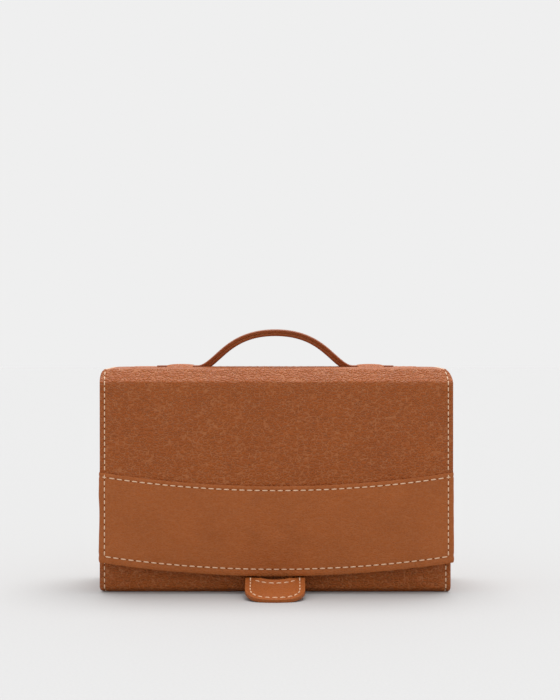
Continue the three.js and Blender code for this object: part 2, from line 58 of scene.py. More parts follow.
bpy.context.scene.view_settings.view_transform = "Standard"


def boxMm(node):
    low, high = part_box(node)
    return Vector(low) / mm, Vector(high) / mm


wrapLow, wrapHigh = boxMm("body_wrap")
lidLow, lidHigh = boxMm("lid_leather")
flapLow, flapHigh = boxMm("flap_leather")
bandLow, bandHigh = boxMm("flap_band")
backLiningLow, backLiningHigh = boxMm("back_lining")
flapLiningLow, flapLiningHigh = boxMm("flap_lining")
lidLiningLow, lidLiningHigh = boxMm("lid_lining")
halfWidth = wrapHigh.x
lidFace = lidHigh.z
flapFace = flapLow.y
hinges = {joint["name"]: Vector(joint.get("pos_m", (0, 0, 0))) / mm for joint in frame["joints"]}


# ---------- materials ----------
def linearColour(code):
    channels = [int(code[i:i + 2], 16) / 255 for i in (1, 3, 5)]
    return [c / 12.92 if c <= 0.04045 else ((c + 0.055) / 1.055) ** 2.4 for c in channels] + [1]


def addNode(material, kind, settings=None, links=None):
    node = material.node_tree.nodes.new(kind)
    for name, value in (settings or {}).items():
        if isinstance(name, str) and hasattr(node, name):
            setattr(node, name, value)
        else:
            node.inputs[name].default_value = value
    for name, source in (links or {}).items():
        material.node_tree.links.new(source, node.inputs[name])
    return node


mixColour = {"A": 6, "B": 7, "Result": 2}  # a Mix node's colour sockets, after its number and vector ones


def startMaterial(name, settings):
    material = bpy.data.materials.new(name)
    material.use_nodes = True
    shader = material.node_tree.nodes["Principled BSDF"]
    for key, value in settings.items():
        shader.inputs[key].default_value = value
    return material, shader


def joinTo(material, shader, name, output):
    material.node_tree.links.new(output, shader.inputs[name])


def colourRamp(material, factor, stops):
    ramp = addNode(material, "ShaderNodeValToRGB", {}, {"Fac": factor})
    elements = ramp.color_ramp.elements
    while len(elements) < len(stops):
        elements.new(0.5)
    for element, (position, colour) in zip(elements, stops):
        element.position = position
        element.color = linearColour(colour)
    return ramp.outputs["Color"]


# Cowhide embossed with a pebble grain, dyed tan and finished with a thin satin resin: rounded pebbles about
# a millimetre and a half across, a lighter colour painted into the thin lines between them as a painted
# highlight on the grain, and a soft broken sheen from gloss that varies over the surface.
def grainedLeather(name, look, followSurface):
    material, shader = startMaterial(name, {"Roughness": look["roughness"], "IOR": 1.48,
                                            "Specular IOR Level": look["specular"]})
    coordinates = addNode(material, "ShaderNodeTexCoord").outputs["UV" if followSurface else "Object"]
    pebble = look["pebble"] * mm
    bend = addNode(material, "ShaderNodeTexNoise", {"Scale": 0.5 / pebble, "Detail": 3.0},
                   {"Vector": coordinates})
    amount = addNode(material, "ShaderNodeVectorMath", {"operation": "SCALE", "Scale": 1.1 * pebble},
                     {0: bend.outputs["Color"]})
    bent = addNode(material, "ShaderNodeVectorMath", {"operation": "ADD"},
                   {0: coordinates, 1: amount.outputs["Vector"]})
    stretched = addNode(material, "ShaderNodeMapping", {"Scale": (0.62, 1.15, 1.15)},
                        {"Vector": bent.outputs["Vector"]})
    edges = addNode(material, "ShaderNodeTexVoronoi", {"feature": "DISTANCE_TO_EDGE", "Scale": 1 / pebble},
                    {"Vector": stretched.outputs["Vector"]})
    crown = addNode(material, "ShaderNodeMapRange",
                    {"interpolation_type": "SMOOTHSTEP", "From Max": look["creaseWidth"],
                     "To Max": look["pebbleShare"]}, {"Value": edges.outputs["Distance"]})
    wrinkles = addNode(material, "ShaderNodeTexNoise",
                       {"Scale": 0.8 / pebble, "Detail": 6.0, "Roughness": 0.6},
                       {"Vector": stretched.outputs["Vector"]})
    pores = addNode(material, "ShaderNodeTexNoise", {"Scale": 1 / (0.28 * mm), "Detail": 2.0},
                    {"Vector": coordinates})
    patches = addNode(material, "ShaderNodeTexNoise", {"Scale": 1 / (26 * mm), "Detail": 3.0},
                      {"Vector": coordinates})
    height = addNode(material, "ShaderNodeMath", {"operation": "MULTIPLY_ADD", 1: look["wrinkleShare"]},
                     {0: wrinkles.outputs["Fac"], 2: crown.outputs["Result"]})
    fine = addNode(material, "ShaderNodeMath", {"operation": "MULTIPLY_ADD", 1: 0.12},
                   {0: pores.outputs["Fac"], 2: height.outputs["Value"]})
    bump = addNode(material, "ShaderNodeBump", {"Strength": look["bump"], "Distance": look["depth"] * mm},
                   {"Height": fine.outputs["Value"]})
    tone = colourRamp(material, patches.outputs["Fac"], [(0.3, look["dark"]), (0.7, look["light"])])
    # the thin lines between the pebbles are mixed towards a lighter colour: a painted highlight for light
    # catching the grain
    paintedHighlightMask = addNode(material, "ShaderNodeMapRange",
                      {"From Min": 0.35, "From Max": 0.85, "To Min": look["paintedHighlightAmount"], "To Max": 0.0},
                      {"Value": height.outputs["Value"]})
    paintedHighlightMix = addNode(material, "ShaderNodeMix",
                     {"data_type": "RGBA", mixColour["B"]: linearColour(look["paintedGrainHighlight"])},
                     {"Factor": paintedHighlightMask.outputs["Result"], mixColour["A"]: tone})
    gloss = addNode(material, "ShaderNodeMapRange",
                    {"From Min": 0.3, "From Max": 0.7, "To Min": look["roughness"] - 0.07,
                     "To Max": look["roughness"] + 0.09}, {"Value": wrinkles.outputs["Fac"]})
    joinTo(material, shader, "Base Color", paintedHighlightMix.outputs[mixColour["Result"]])
    joinTo(material, shader, "Roughness", gloss.outputs["Result"])
    joinTo(material, shader, "Normal", bump.outputs["Normal"])
    return material


pebbledLook = {"pebble": 1.85, "pebbleShare": 0.6, "creaseWidth": 0.26, "wrinkleShare": 1.1, "bump": 1.0,
               "depth": 0.66, "light": "#A14F0B", "dark": "#9A4A08", "paintedGrainHighlight": "#C58E60", "paintedHighlightAmount": 0.3,
               "roughness": 0.48, "specular": 0.38}
smoothLook = dict(pebbledLook, pebble=1.3, pebbleShare=0.35, wrinkleShare=1.0, bump=0.9, depth=0.5,
                  light="#A65516", dark="#9E5012", paintedHighlightAmount=0.14, roughness=0.46)
# the handle's leather is a darker copy of the smooth leather: painted shade over the handle, whose front
# faces lie in shadow
shadedHandleLook = dict(smoothLook, light="#8E430E", dark="#863D0B", paintedHighlightAmount=0.08)

pebbledHide = grainedLeather("pebbledCowhide", pebbledLook, True)
pebbledHideFlat = grainedLeather("pebbledCowhideGusset", pebbledLook, False)
napaHide = grainedLeather("smoothCowhide", smoothLook, True)
napaHideFlat = grainedLeather("smoothCowhideTrim", smoothLook, False)
shadedHandleHide = grainedLeather("smoothCowhideHandleShaded", shadedHandleLook, False)


# Bonded polyester thread, two plies twisted and waxed: a pale line with a slight sheen and a rope twist.
def makeThread(name, dark, light):
    material, shader = startMaterial(name, {"Roughness": 0.55, "IOR": 1.5})
    coordinates = addNode(material, "ShaderNodeTexCoord").outputs["Object"]
    twist = addNode(material, "ShaderNodeTexWave",
                    {"wave_type": "BANDS", "bands_direction": "DIAGONAL", "Scale": 0.5 / (0.5 * mm),
                     "Distortion": 0.6}, {"Vector": coordinates})
    bump = addNode(material, "ShaderNodeBump", {"Strength": 0.5, "Distance": 0.12 * mm},
                   {"Height": twist.outputs["Fac"]})
    joinTo(material, shader, "Base Color",
           colourRamp(material, twist.outputs["Fac"], [(0.1, dark), (0.7, light)]))
    joinTo(material, shader, "Normal", bump.outputs["Normal"])
    return material


thread = makeThread("waxedPolyesterThread", "#D2A682", "#EFCFB0")
tanThread = makeThread("tanPolyesterThread", "#8A4B22", "#A9643A")


# The holes that the needle leaves in dyed leather, drawn as flat dark discs: painted shade in each hole,
# coloured as dark brown fibre with no shine.
def makeHoleShade():
    material, shader = startMaterial("paintedHoleShadeLeather", {"Roughness": 0.95, "Specular IOR Level": 0.1})
    coordinates = addNode(material, "ShaderNodeTexCoord").outputs["Object"]
    fibre = addNode(material, "ShaderNodeTexNoise", {"Scale": 1 / (0.3 * mm)}, {"Vector": coordinates})
    joinTo(material, shader, "Base Color",
           colourRamp(material, fibre.outputs["Fac"], [(0.3, "#3A1C0C"), (0.7, "#552B14")]))
    return material


paintedHoleShade = makeHoleShade()


# Microfibre suede, brushed one way: a soft matt nap with clouded lighter strokes and a velvet sheen.
def brushedSuede(name, light, dark, followSurface=False):
    material, shader = startMaterial(name, {"Roughness": 0.92, "Specular IOR Level": 0.2,
                                            "Sheen Weight": 0.45, "Sheen Roughness": 0.5})
    coordinates = addNode(material, "ShaderNodeTexCoord").outputs["UV" if followSurface else "Object"]
    strokes = addNode(material, "ShaderNodeTexNoise",
                      {"Scale": 1 / (11 * mm), "Detail": 6.0, "Roughness": 0.65},
                      {"Vector": coordinates})
    nap = addNode(material, "ShaderNodeTexNoise", {"Scale": 1 / (0.35 * mm), "Detail": 3.0},
                  {"Vector": coordinates})
    bump = addNode(material, "ShaderNodeBump", {"Strength": 0.4, "Distance": 0.15 * mm},
                   {"Height": nap.outputs["Fac"]})
    mixed = addNode(material, "ShaderNodeMath", {"operation": "MULTIPLY_ADD", 1: 0.25},
                    {0: nap.outputs["Fac"], 2: strokes.outputs["Fac"]})
    joinTo(material, shader, "Base Color", colourRamp(material, mixed.outputs["Value"],
                                                      [(0.45, dark), (0.85, light)]))
    joinTo(material, shader, "Normal", bump.outputs["Normal"])
    return material


suede = brushedSuede("microfibreSuede", "#CFBBA6", "#C1AC96")
suedeSheet = brushedSuede("microfibreSuedeSheet", "#D6C1AC", "#C8B29C", True)


# Zinc casting thinly plated in a gold colour, tumbled and polished: bright, with faint hairlines from wear.
def platedMetal(name, light, dark, roughness):
    material, shader = startMaterial(name, {"Metallic": 1.0, "Roughness": roughness})
    coordinates = addNode(material, "ShaderNodeTexCoord").outputs["Object"]
    along = addNode(material, "ShaderNodeMapping", {"Scale": (1.0, 1.0, 14.0)}, {"Vector": coordinates})
    hairlines = addNode(material, "ShaderNodeTexNoise", {"Scale": 1 / (1.2 * mm), "Detail": 4.0},
                        {"Vector": along.outputs["Vector"]})
    bump = addNode(material, "ShaderNodeBump", {"Strength": 0.15, "Distance": 0.03 * mm},
                   {"Height": hairlines.outputs["Fac"]})
    gloss = addNode(material, "ShaderNodeMapRange", {"To Min": roughness - 0.06, "To Max": roughness + 0.12},
                    {"Value": hairlines.outputs["Fac"]})
    joinTo(material, shader, "Base Color", colourRamp(material, hairlines.outputs["Fac"],
                                                      [(0.3, dark), (0.7, light)]))
    joinTo(material, shader, "Roughness", gloss.outputs["Result"])
    joinTo(material, shader, "Normal", bump.outputs["Normal"])
    return material


goldPlate = platedMetal("goldPlatedZinc", "#E9C27A", "#CFA257", 0.22)
nickelPlate = platedMetal("nickelPlatedMagnet", "#D5D3CE", "#B9B7B2", 0.25)


# Pressed grey board of recycled paper: matt, mottled, with short fibres.
def makeGreyboard():
    material, shader = startMaterial("pressedGreyboard", {"Roughness": 0.95, "Specular IOR Level": 0.2})
    coordinates = addNode(material, "ShaderNodeTexCoord").outputs["Object"]
    fibres = addNode(material, "ShaderNodeTexNoise", {"Scale": 1 / (0.8 * mm), "Detail": 6.0},
                     {"Vector": coordinates})
    bump = addNode(material, "ShaderNodeBump", {"Strength": 0.3, "Distance": 0.1 * mm},
                   {"Height": fibres.outputs["Fac"]})
    joinTo(material, shader, "Base Color",
           colourRamp(material, fibres.outputs["Fac"], [(0.35, "#7F7B74"), (0.65, "#A09B93")]))
    joinTo(material, shader, "Normal", bump.outputs["Normal"])
    return material


greyboard = makeGreyboard()


# Woven polyester tape, a fine herringbone: matt, with a row of raised yarns about every half millimetre.
def makeTape():
    material, shader = startMaterial("wovenPolyesterTape", {"Roughness": 0.85, "Sheen Weight": 0.2})
    coordinates = addNode(material, "ShaderNodeTexCoord").outputs["Object"]
    warp = addNode(material, "ShaderNodeTexWave",
                   {"bands_direction": "DIAGONAL", "Scale": 0.5 / (0.55 * mm), "Distortion": 0.3},
                   {"Vector": coordinates})
    bump = addNode(material, "ShaderNodeBump", {"Strength": 0.5, "Distance": 0.12 * mm},
                   {"Height": warp.outputs["Fac"]})
    joinTo(material, shader, "Base Color",
           colourRamp(material, warp.outputs["Fac"], [(0.2, "#A67C58"), (0.8, "#C29A75")]))
    joinTo(material, shader, "Normal", bump.outputs["Normal"])
    return material


zipTape = makeTape()


# ---------- building ----------
def deselect():
    bpy.ops.object.select_all(action="DESELECT")


def applyModifier(piece, kind, settings):
    modifier = piece.modifiers.new(kind.title(), kind)
    for name, value in settings.items():
        setattr(modifier, name, value)
    deselect()
    bpy.context.view_layer.objects.active = piece
    piece.select_set(True)
    bpy.ops.object.modifier_apply(modifier=modifier.name)


def smooth(piece, angle=40):
    deselect()
    bpy.context.view_layer.objects.active = piece
    piece.select_set(True)
    bpy.ops.object.shade_smooth_by_angle(angle=math.radians(angle))


def finishPiece(piece, body=None, across=None, stands=()):
    # across is (body, next body, start, end) for leather that spans two bodies; its values are not used, and
    # such a piece is only baked in place, attached to no body
    if across:
        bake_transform(piece)
    else:
        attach(piece, body)
    if stands:
        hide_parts(*stands)
    return piece


def steps(start, end, longest):
    count = max(1, math.ceil(abs(end - start) / longest))
    return [start + (end - start) * i / count for i in range(count + 1)]


# Values from -half to half, close together near both ends.
def columnsTo(half, fine, coarse, margin):
    edge = steps(-half, -half + margin, fine)
    middle = steps(-half + margin, half - margin, coarse)
    return edge + middle[1:-1] + [-value for value in reversed(edge)]


# A sheet of leather or cloth: its columns run along the first value and its rows along the second, and
# surface gives the outer face. The thickness goes in behind it, and the rim is rounded.
def makeSheet(name, columns, rowsAt, surface, material, thickness, flip=False, rim=0.35, joined=False):
    rows = [rowsAt(column) for column in columns]
    across, along = len(columns) - 1, len(rows[0]) - 1
    deselect()
    bpy.ops.mesh.primitive_grid_add(x_subdivisions=across, y_subdivisions=along, size=2)
    sheet = bpy.context.object
    sheet.name = sheet.data.name = name
    place = {}
    for vertex in sheet.data.vertices:
        i = round((vertex.co.x + 1) / 2 * across)
        j = round((vertex.co.y + 1) / 2 * along)
        place[vertex.index] = (columns[i], rows[i][j])
        vertex.co = Vector(surface(*place[vertex.index])) * mm
    layer = sheet.data.uv_layers.active
    for loop in sheet.data.loops:
        layer.data[loop.index].uv = Vector(place[loop.vertex_index]) * mm
    sheet.location = (0, 0, 0)
    work = bmesh.new()
    work.from_mesh(sheet.data)
    if joined:
        bmesh.ops.remove_doubles(work, verts=work.verts, dist=0.02 * mm)
    if flip:
        bmesh.ops.reverse_faces(work, faces=work.faces)
    work.to_mesh(sheet.data)
    work.free()
    if thickness:
        applyModifier(sheet, "SOLIDIFY", {"thickness": thickness * mm, "offset": -1.0})
    if rim:
        applyModifier(sheet, "BEVEL", {"width": rim * mm, "segments": 2, "limit_method": "ANGLE",
                                       "angle_limit": math.radians(55)})
    smooth(sheet, 60)
    sheet.data.materials.append(material)
    return sheet


# A copy of a CAD node with its edges rounded.
def roundedCopy(name, node, material, radius, segments=3, angle=40):
    copy = bpy.data.objects.new(name, frame["nodes"][node].data.copy())
    copy.data.name = name
    bpy.context.scene.collection.objects.link(copy)
    work = bmesh.new()
    work.from_mesh(copy.data)
    bmesh.ops.remove_doubles(work, verts=work.verts, dist=0.01 * mm)
    bmesh.ops.dissolve_limit(work, angle_limit=math.radians(1), verts=work.verts, edges=work.edges)
    for face in work.faces:
        face.smooth = True
    work.to_mesh(copy.data)
    work.free()
    applyModifier(copy, "BEVEL", {"width": radius * mm, "segments": segments, "limit_method": "ANGLE",
                                  "angle_limit": math.radians(angle), "use_clamp_overlap": True})
    smooth(copy, 50)
    copy.data.materials.clear()
    copy.data.materials.append(material)
    return copy


stitch = {"pitch": 4.75, "closePitch": 3.85, "length": 3.5, "closeLength": 2.9, "width": 0.76, "height": 0.7,
          "dip": 0.3, "hole": 1.05, "near": 0.01}


def makeStitchShapes(length):
    deselect()
    bpy.ops.mesh.primitive_uv_sphere_add(segments=8, ring_count=6, radius=0.5)
    strand = bpy.context.object
    for vertex in strand.data.vertices:
        x, y, z = vertex.co.z, vertex.co.y, vertex.co.x
        fuller = (1 - (2 * x) ** 4) ** 0.25 if abs(x) < 0.5 else 0
        spread = math.hypot(y, z) or 1
        vertex.co = (x * length, y / spread * 0.5 * fuller * stitch["width"],
                     z / spread * 0.5 * fuller * stitch["height"] - 4 * x * x * stitch["dip"] + 0.14)
    work = bmesh.new()
    work.from_mesh(strand.data)
    bmesh.ops.recalc_face_normals(work, faces=work.faces)
    work.to_mesh(strand.data)
    work.free()
    deselect()
    bpy.ops.mesh.primitive_uv_sphere_add(segments=6, ring_count=4, radius=0.5,
                                         scale=(stitch["hole"], 0.75, 0.16))
    hole = bpy.context.object
    bpy.ops.object.transform_apply(location=True, rotation=True, scale=True)
    shapes = strand.data.copy(), hole.data.copy()
    bpy.data.objects.remove(strand)
    bpy.data.objects.remove(hole)
    return shapes


strandShape, holeShape = makeStitchShapes(stitch["length"])
closeStrandShape, closeHoleShape = makeStitchShapes(stitch["closeLength"])


# One object made of many placed copies: each copy is (mesh, material number, matrix in millimetres).
def gatherCopies(name, copies, materials):
    whole = bpy.data.objects.new(name, bpy.data.meshes.new(name))
    bpy.context.scene.collection.objects.link(whole)
    work = bmesh.new()
    for shape, number, matrix in copies:
        before = len(work.verts), len(work.faces)
        work.from_mesh(shape)
        work.verts.ensure_lookup_table()
        work.faces.ensure_lookup_table()
        for vertex in work.verts[before[0]:]:
            vertex.co = Matrix.Scale(mm, 4) @ matrix @ vertex.co
        for face in work.faces[before[1]:]:
            face.material_index = number
            face.smooth = True
    work.to_mesh(whole.data)
    work.free()
    for material in materials:
        whole.data.materials.append(material)
    return whole


# Rows of stitches along lines on a surface. Each line is a list of places (first value, second value).
def stitchRows(name, surface, lines, side, lift=0.0, close=False, strandThread=thread):
    copies = []
    for line in lines:
        fine = []
        for (a, b), (c, d) in zip(line, line[1:]):
            fine += [(a + (c - a) * k / 24, b + (d - b) * k / 24) for k in range(24)]
        fine.append(line[-1])
        points = [Vector(surface(*p)) for p in fine]
        reach = [0.0]
        for p, q in zip(points, points[1:]):
            reach.append(reach[-1] + (q - p).length)

        def at(distance):
            distance = min(max(distance, 0), reach[-1])
            k = next(i for i in range(1, len(reach)) if reach[i] >= distance)
            share = (distance - reach[k - 1]) / max(reach[k] - reach[k - 1], 1e-9)
            return [m + (n - m) * share for m, n in zip(fine[k - 1], fine[k])]

        count = max(1, round(reach[-1] / stitch["closePitch" if close else "pitch"]))
        pitch = reach[-1] / count
        for k in range(count):
            strand = closeStrandShape if close else strandShape
            for share, shape, slot in ((0.5, strand, 0), (1.0, holeShape, 1)):
                if slot and k == count - 1:
                    continue
                middle = (k + share) * pitch
                u, v = at(middle)
                ahead = Vector(surface(*at(middle + 1))) - Vector(surface(*at(middle - 1)))
                near = stitch["near"]
                normal = (Vector(surface(u + near, v)) - Vector(surface(u - near, v))).cross(
                    Vector(surface(u, v + near)) - Vector(surface(u, v - near))) * side
                ahead.normalize()
                normal.normalize()
                beside = normal.cross(ahead)
                turn = Matrix((ahead, beside, normal)).transposed().to_4x4()
                spot = Matrix.Translation(Vector(surface(u, v)) + normal * lift)
                copies.append((shape, slot, spot @ turn))
    return gatherCopies(name, copies, (strandThread, paintedHoleShade))


# A path in Y and Z through corners, each corner rounded by its radius.
def roundedPath(corners, radii):
    parts = []
    here = Vector(corners[0])
    for k in range(1, len(corners) - 1):
        before, corner, after = (Vector(corners[k + n]) for n in (-1, 0, 1))
        a, b = (before - corner).normalized(), (after - corner).normalized()
        half = a.angle(b) / 2
        cut = radii[k - 1] / math.tan(half)
        centre = corner + (a + b).normalized() * radii[k - 1] / math.sin(half)
        start, end = corner + a * cut, corner + b * cut
        parts.append(("line", here, start, (start - here).length))
        parts.append(("arc", centre, start - centre, a.cross(b), radii[k - 1] * (math.pi - 2 * half)))
        here = end
    last = Vector(corners[-1])
    parts.append(("line", here, last, (last - here).length))
    return parts


# The point at a distance along a path, and the way the path runs there.
def alongPath(path, distance):
    for k, part in enumerate(path):
        length = part[-1]
        if distance <= length or k == len(path) - 1:
            if part[0] == "line":
                way = (part[2] - part[1]).normalized()
                return part[1] + way * distance, way
            arm = part[2]
            turn = -math.copysign(distance / arm.length, part[3])
            c, s = math.cos(turn), math.sin(turn)
            spoke = Vector((arm.x * c - arm.y * s, arm.x * s + arm.y * c))
            way = Vector((-spoke.y, spoke.x)).normalized() * (-1 if part[3] > 0 else 1)
            return part[1] + spoke, way
        distance -= length


def pathRows(path, coarse, fine):
    rows, reached = [0.0], 0.0
    for part in path:
        rows += [reached + s for s in steps(0, part[-1], coarse if part[0] == "line" else fine)[1:]]
        reached += part[-1]
    return rows


# The same rows with close ones between two places, where the piece bends in a fold.
def closeRows(rows, low, high, gap=0.7):
    return sorted([s for s in rows if s < low - gap / 2 or s > high + gap / 2] + steps(low, high, gap))


def bell(value, width):
    return math.exp(-(value / width) ** 2)


def ease(value):
    value = min(max(value, 0), 1)
    return value * value * (3 - 2 * value)


def waver(a, b, size, seed):
    return noise.noise(Vector((a / size, b / size, seed)))


# ---------- the long strip of pebbled leather ----------
strip = {"leather": 1.4, "seam": 3.0, "groove": 0.3, "pillow": 0.35, "waver": 0.3, "lidCorner": 4.5,
         "bottomCorner": 4.0, "crestCorner": 2.2, "facetCorner": 2.8, "facetDepth": 6.4,
         "facetDrop": 7.9, "cornerIn": 1.5, "cornerMargin": 0.25, "lidNarrow": 0.5, "shift": 0.8,
         "bottomRound": 3.2, "bottomIn": 1.5, "bottomReach": 8, "fine": 0.75, "coarse": 3.2}

frontLow, frontHigh = boxMm("front_lining")
frontTop = frontHigh.z + 1.2
turnedIn = frontHigh.y + 0.3  # the inner face of the leather that is turned over the front wall
bodyPath = roundedPath(
    [(turnedIn, frontTop - 6), (turnedIn, frontTop), (wrapLow.y, frontTop), (wrapLow.y, 0), (wrapHigh.y, 0),
     (wrapHigh.y, lidFace), (0, lidFace)],
    [1.9, 1.9, strip["bottomCorner"], strip["bottomCorner"], strip["lidCorner"]])
turnLength = sum(part[-1] for part in bodyPath[:3])
lidCornerAt = sum(part[-1] for part in bodyPath[:-2])
hang = 1.9  # the supple flap and its band hang this much lower than their stiff outline
flapPath = roundedPath(
    [(0, lidFace), (flapFace + strip["facetDepth"], lidFace), (flapFace, lidFace - strip["facetDrop"]),
     (flapFace, flapLow.z - hang)],
    [strip["crestCorner"], strip["facetCorner"]])
crestAt = flapPath[0][-1]
flapStart = sum(part[-1] for part in flapPath[:-1])
flapTopZ = alongPath(flapPath, flapStart)[0].y


# The height of the sagging lower edge at x, for the flap and its band.
def sag(x, middle, sides, half):
    return middle + (sides - middle) * (x / half) ** 2


flapMiddle, flapSides = flapLow.z - hang, flapLow.z - hang + 8.5
bandTopMiddle, bandTopSides = bandHigh.z - hang - 8.7, bandHigh.z - hang


def flapEnd(x):
    return flapStart + flapTopZ - sag(x, flapMiddle, flapSides, halfWidth)


def seamRelief(distance):
    # the leather dips where it is sewn, rolls over at its edge, and swells a little beyond the seam
    swell = strip["pillow"] * (1 - math.exp(-max(distance - strip["seam"], 0) / 5))
    return swell - strip["groove"] * bell(distance - strip["seam"], 0.75) - 0.25 * bell(distance, 0.8)


# The lid is a little narrower than the front, and the leather's margin draws in with it.
def drawnIn(x, amount):
    edge = halfWidth - strip["seam"]
    margin = max(abs(x) - edge, 0) * (1 - (1 - strip["cornerMargin"]) * amount)
    inner = min(abs(x), edge)
    inner -= strip["cornerIn"] * amount * ease((inner - edge) / 12 + 1)
    return math.copysign(inner + margin, x)


def bodySkin(x, s):
    point, way = alongPath(bodyPath, s)
    out = Vector((way.y, -way.x))
    lift = seamRelief(halfWidth - abs(x)) + strip["waver"] * waver(x, s, 34, 1)
    if point.y < 6 and abs(out.y + 1) < 0.5:
        lift = min(lift, 0)  # it lies flat where it stands
    trimmed = 1 - (1 - frontHigh.x / halfWidth) * (1 - ease((s - turnLength) / 2.6 + 1))
    across = drawnIn(x * trimmed, strip["lidNarrow"] * ease((s - lidCornerAt) / 8))
    low = min(max(1 - point.y / strip["bottomRound"], 0), 0.99)
    nearSide = ease(1 - (halfWidth - abs(x)) / strip["bottomReach"])
    across -= math.copysign(strip["bottomIn"] * (1 - math.sqrt(1 - low ** 2)), x) * nearSide
    return across, point.x + out.x * lift, point.y + out.y * lift


# How far the corner of the lid and the flap is rounded in at a place on the lid or on the slanted facet.
def cornerRounding(y, z, top):
    crestY = flapFace + strip["facetDepth"]
    if y > crestY:
        return strip["lidNarrow"] + (0.83 - strip["lidNarrow"]) * ease((crestY + 9 - y) / 9)
    climb = min(max((z - flapTopZ - 1) / (top - flapTopZ - 1), 0), 0.985)
    return 1 - math.sqrt(1 - climb ** 2)


def flapSkin(x, s):
    point, way = alongPath(flapPath, s)
    out = Vector((way.y, -way.x))
    free = ease((flapStart + flapTopZ - bandTopSides - s) / 12 + 1)  # flat under the band
    lift = seamRelief(halfWidth - abs(x)) * free + strip["waver"] * waver(x, s, 34, 2) * free
    across = drawnIn(x, cornerRounding(point.x, point.y, lidFace)) + strip["shift"] * ease((s - crestAt) / 12)
    return across, point.x + out.x * lift, point.y + out.y * lift


lidFold = ("case_body", "lid", (0, wrapHigh.y, hinges["lid_fold"].z - 6), (0, 26.0, lidFace))
flapFold = ("lid", "flap", (0, hinges["flap_fold"].y + 7, lidFace),
            (0, flapFace, hinges["flap_fold"].z - 5.5))

lidLiningFold = ("case_body", "lid", (0, backLiningLow.y, 129.2), (0, 27.0, lidLiningLow.z - 0.2))
flapLiningFold = ("lid", "flap", (0, lidLiningLow.y - 0.5, lidLiningLow.z), (0, flapLiningHigh.y, 130.4))

stripColumns = columnsTo(halfWidth, strip["fine"], strip["coarse"], 6)
bodyRows = closeRows(pathRows(bodyPath, strip["coarse"], 0.8), lidCornerAt - 12, lidCornerAt + 20)
flapRows = closeRows(pathRows(flapPath[:-1], strip["coarse"], 0.5), crestAt - 4, flapStart - 0.3)


def flapRowsAt(x):
    end = flapEnd(x)
    shares = [k / 36 for k in range(1, 37)]
    return flapRows + [flapStart + (end - flapStart) * share for share in shares]


bodyLeather = makeSheet("bodyLeather", stripColumns, lambda x: bodyRows, bodySkin, pebbledHide,
                        strip["leather"], flip=True, rim=0.5)
finishPiece(bodyLeather, across=lidFold,
            stands=("body_wrap", "lid_fold_leather", "lid_leather"))
flapLeather = makeSheet("flapLeather", stripColumns, flapRowsAt, flapSkin, pebbledHide,
                        strip["leather"], flip=True, rim=0.5)
finishPiece(flapLeather, across=flapFold, stands=("flap_leather", "flap_fold_leather"))

seamX = halfWidth - strip["seam"]
bodyLength = sum(part[-1] for part in bodyPath)
bodyLines = [[(side * seamX, s) for s in steps(turnLength + 3, bodyLength, 4)] for side in (-1, 1)]
bodyLines.append([(x, strip["seam"]) for x in steps(-seamX + 2, seamX - 2, 6)])
bodyStitches = stitchRows("bodyStitches", bodySkin, bodyLines, -1, close=True)
finishPiece(bodyStitches, across=lidFold)
flapStitchEnd = flapStart + flapTopZ - bandTopSides - 0.5
flapRuns = ((0, crestAt - 2.4), (crestAt + 2.2, flapStitchEnd))
flapLines = [[(side * seamX, s) for s in steps(low, high, 4)] for side in (-1, 1) for low, high in flapRuns]
flapStitches = stitchRows("flapStitches", flapSkin, flapLines, -1, close=True)
finishPiece(flapStitches, across=flapFold)
print("strip of leather: done")


# ---------- the smooth band across the flap ----------
band = {"leather": 1.3, "seamBottom": 4.2, "seamTop": 2.7, "corner": 1.5, "wrap": 4.6, "magnetRise": 0.7,
        "waver": 0.6, "fold": 0.7}
bandHalf = bandHigh.x
magnetLow, magnetHigh = boxMm("flap_magnet")
magnetCentre = Vector((0, (magnetLow.z + magnetHigh.z) / 2))
bandPath = roundedPath(
    [(-bandHalf, bandLow.y + band["wrap"]), (-bandHalf, bandLow.y), (bandHalf, bandLow.y),
     (bandHalf, bandLow.y + band["wrap"])],
    [band["corner"], band["corner"]])
bandLength = sum(part[-1] for part in bandPath)
foldLines = [(-0.95, 1.0, 17), (-0.55, 0.7, 26), (-0.2, 0.9, 20), (0.25, 0.8, 28), (0.62, 1.0, 22),
             (1.05, 0.7, 16)]


def bandSkin(s, z):
    point, way = alongPath(bandPath, s)
    out = Vector((way.y, -way.x))
    x = point.x
    bottom = z - sag(x, flapMiddle, flapSides, bandHalf)
    top = sag(x, bandTopMiddle, bandTopSides, bandHalf) - z
    sideways = bandHalf - abs(x)
    lift = -0.28 * bell(bottom - band["seamBottom"], 0.8) - 0.28 * bell(top - band["seamTop"], 0.7)
    lift -= 0.28 * bell(sideways - strip["seam"] - 0.7, 0.75)
    lift -= 0.3 * bell(bottom, 0.8) + 0.35 * bell(top, 0.8)
    lift += band["waver"] * (waver(x, z, 30, 5) + 0.4 * waver(x, z, 11, 6))
    away = Vector((x, z)) - magnetCentre
    lift += band["magnetRise"] * ease((magnetHigh.x + 3 - away.length) / 4)
    for tilt, depth, reach in foldLines:
        ray = Vector((math.sin(tilt), math.cos(tilt)))
        ahead, beside = away.dot(ray), away.cross(ray)
        lift += band["fold"] * depth * bell(beside - 0.7 * math.sin(ahead / 5 + tilt * 9), 1.5) * bell(
            ahead - 8 - reach / 2, reach / 2)
    return x + strip["shift"] + out.x * lift, point.y + out.y * lift, z


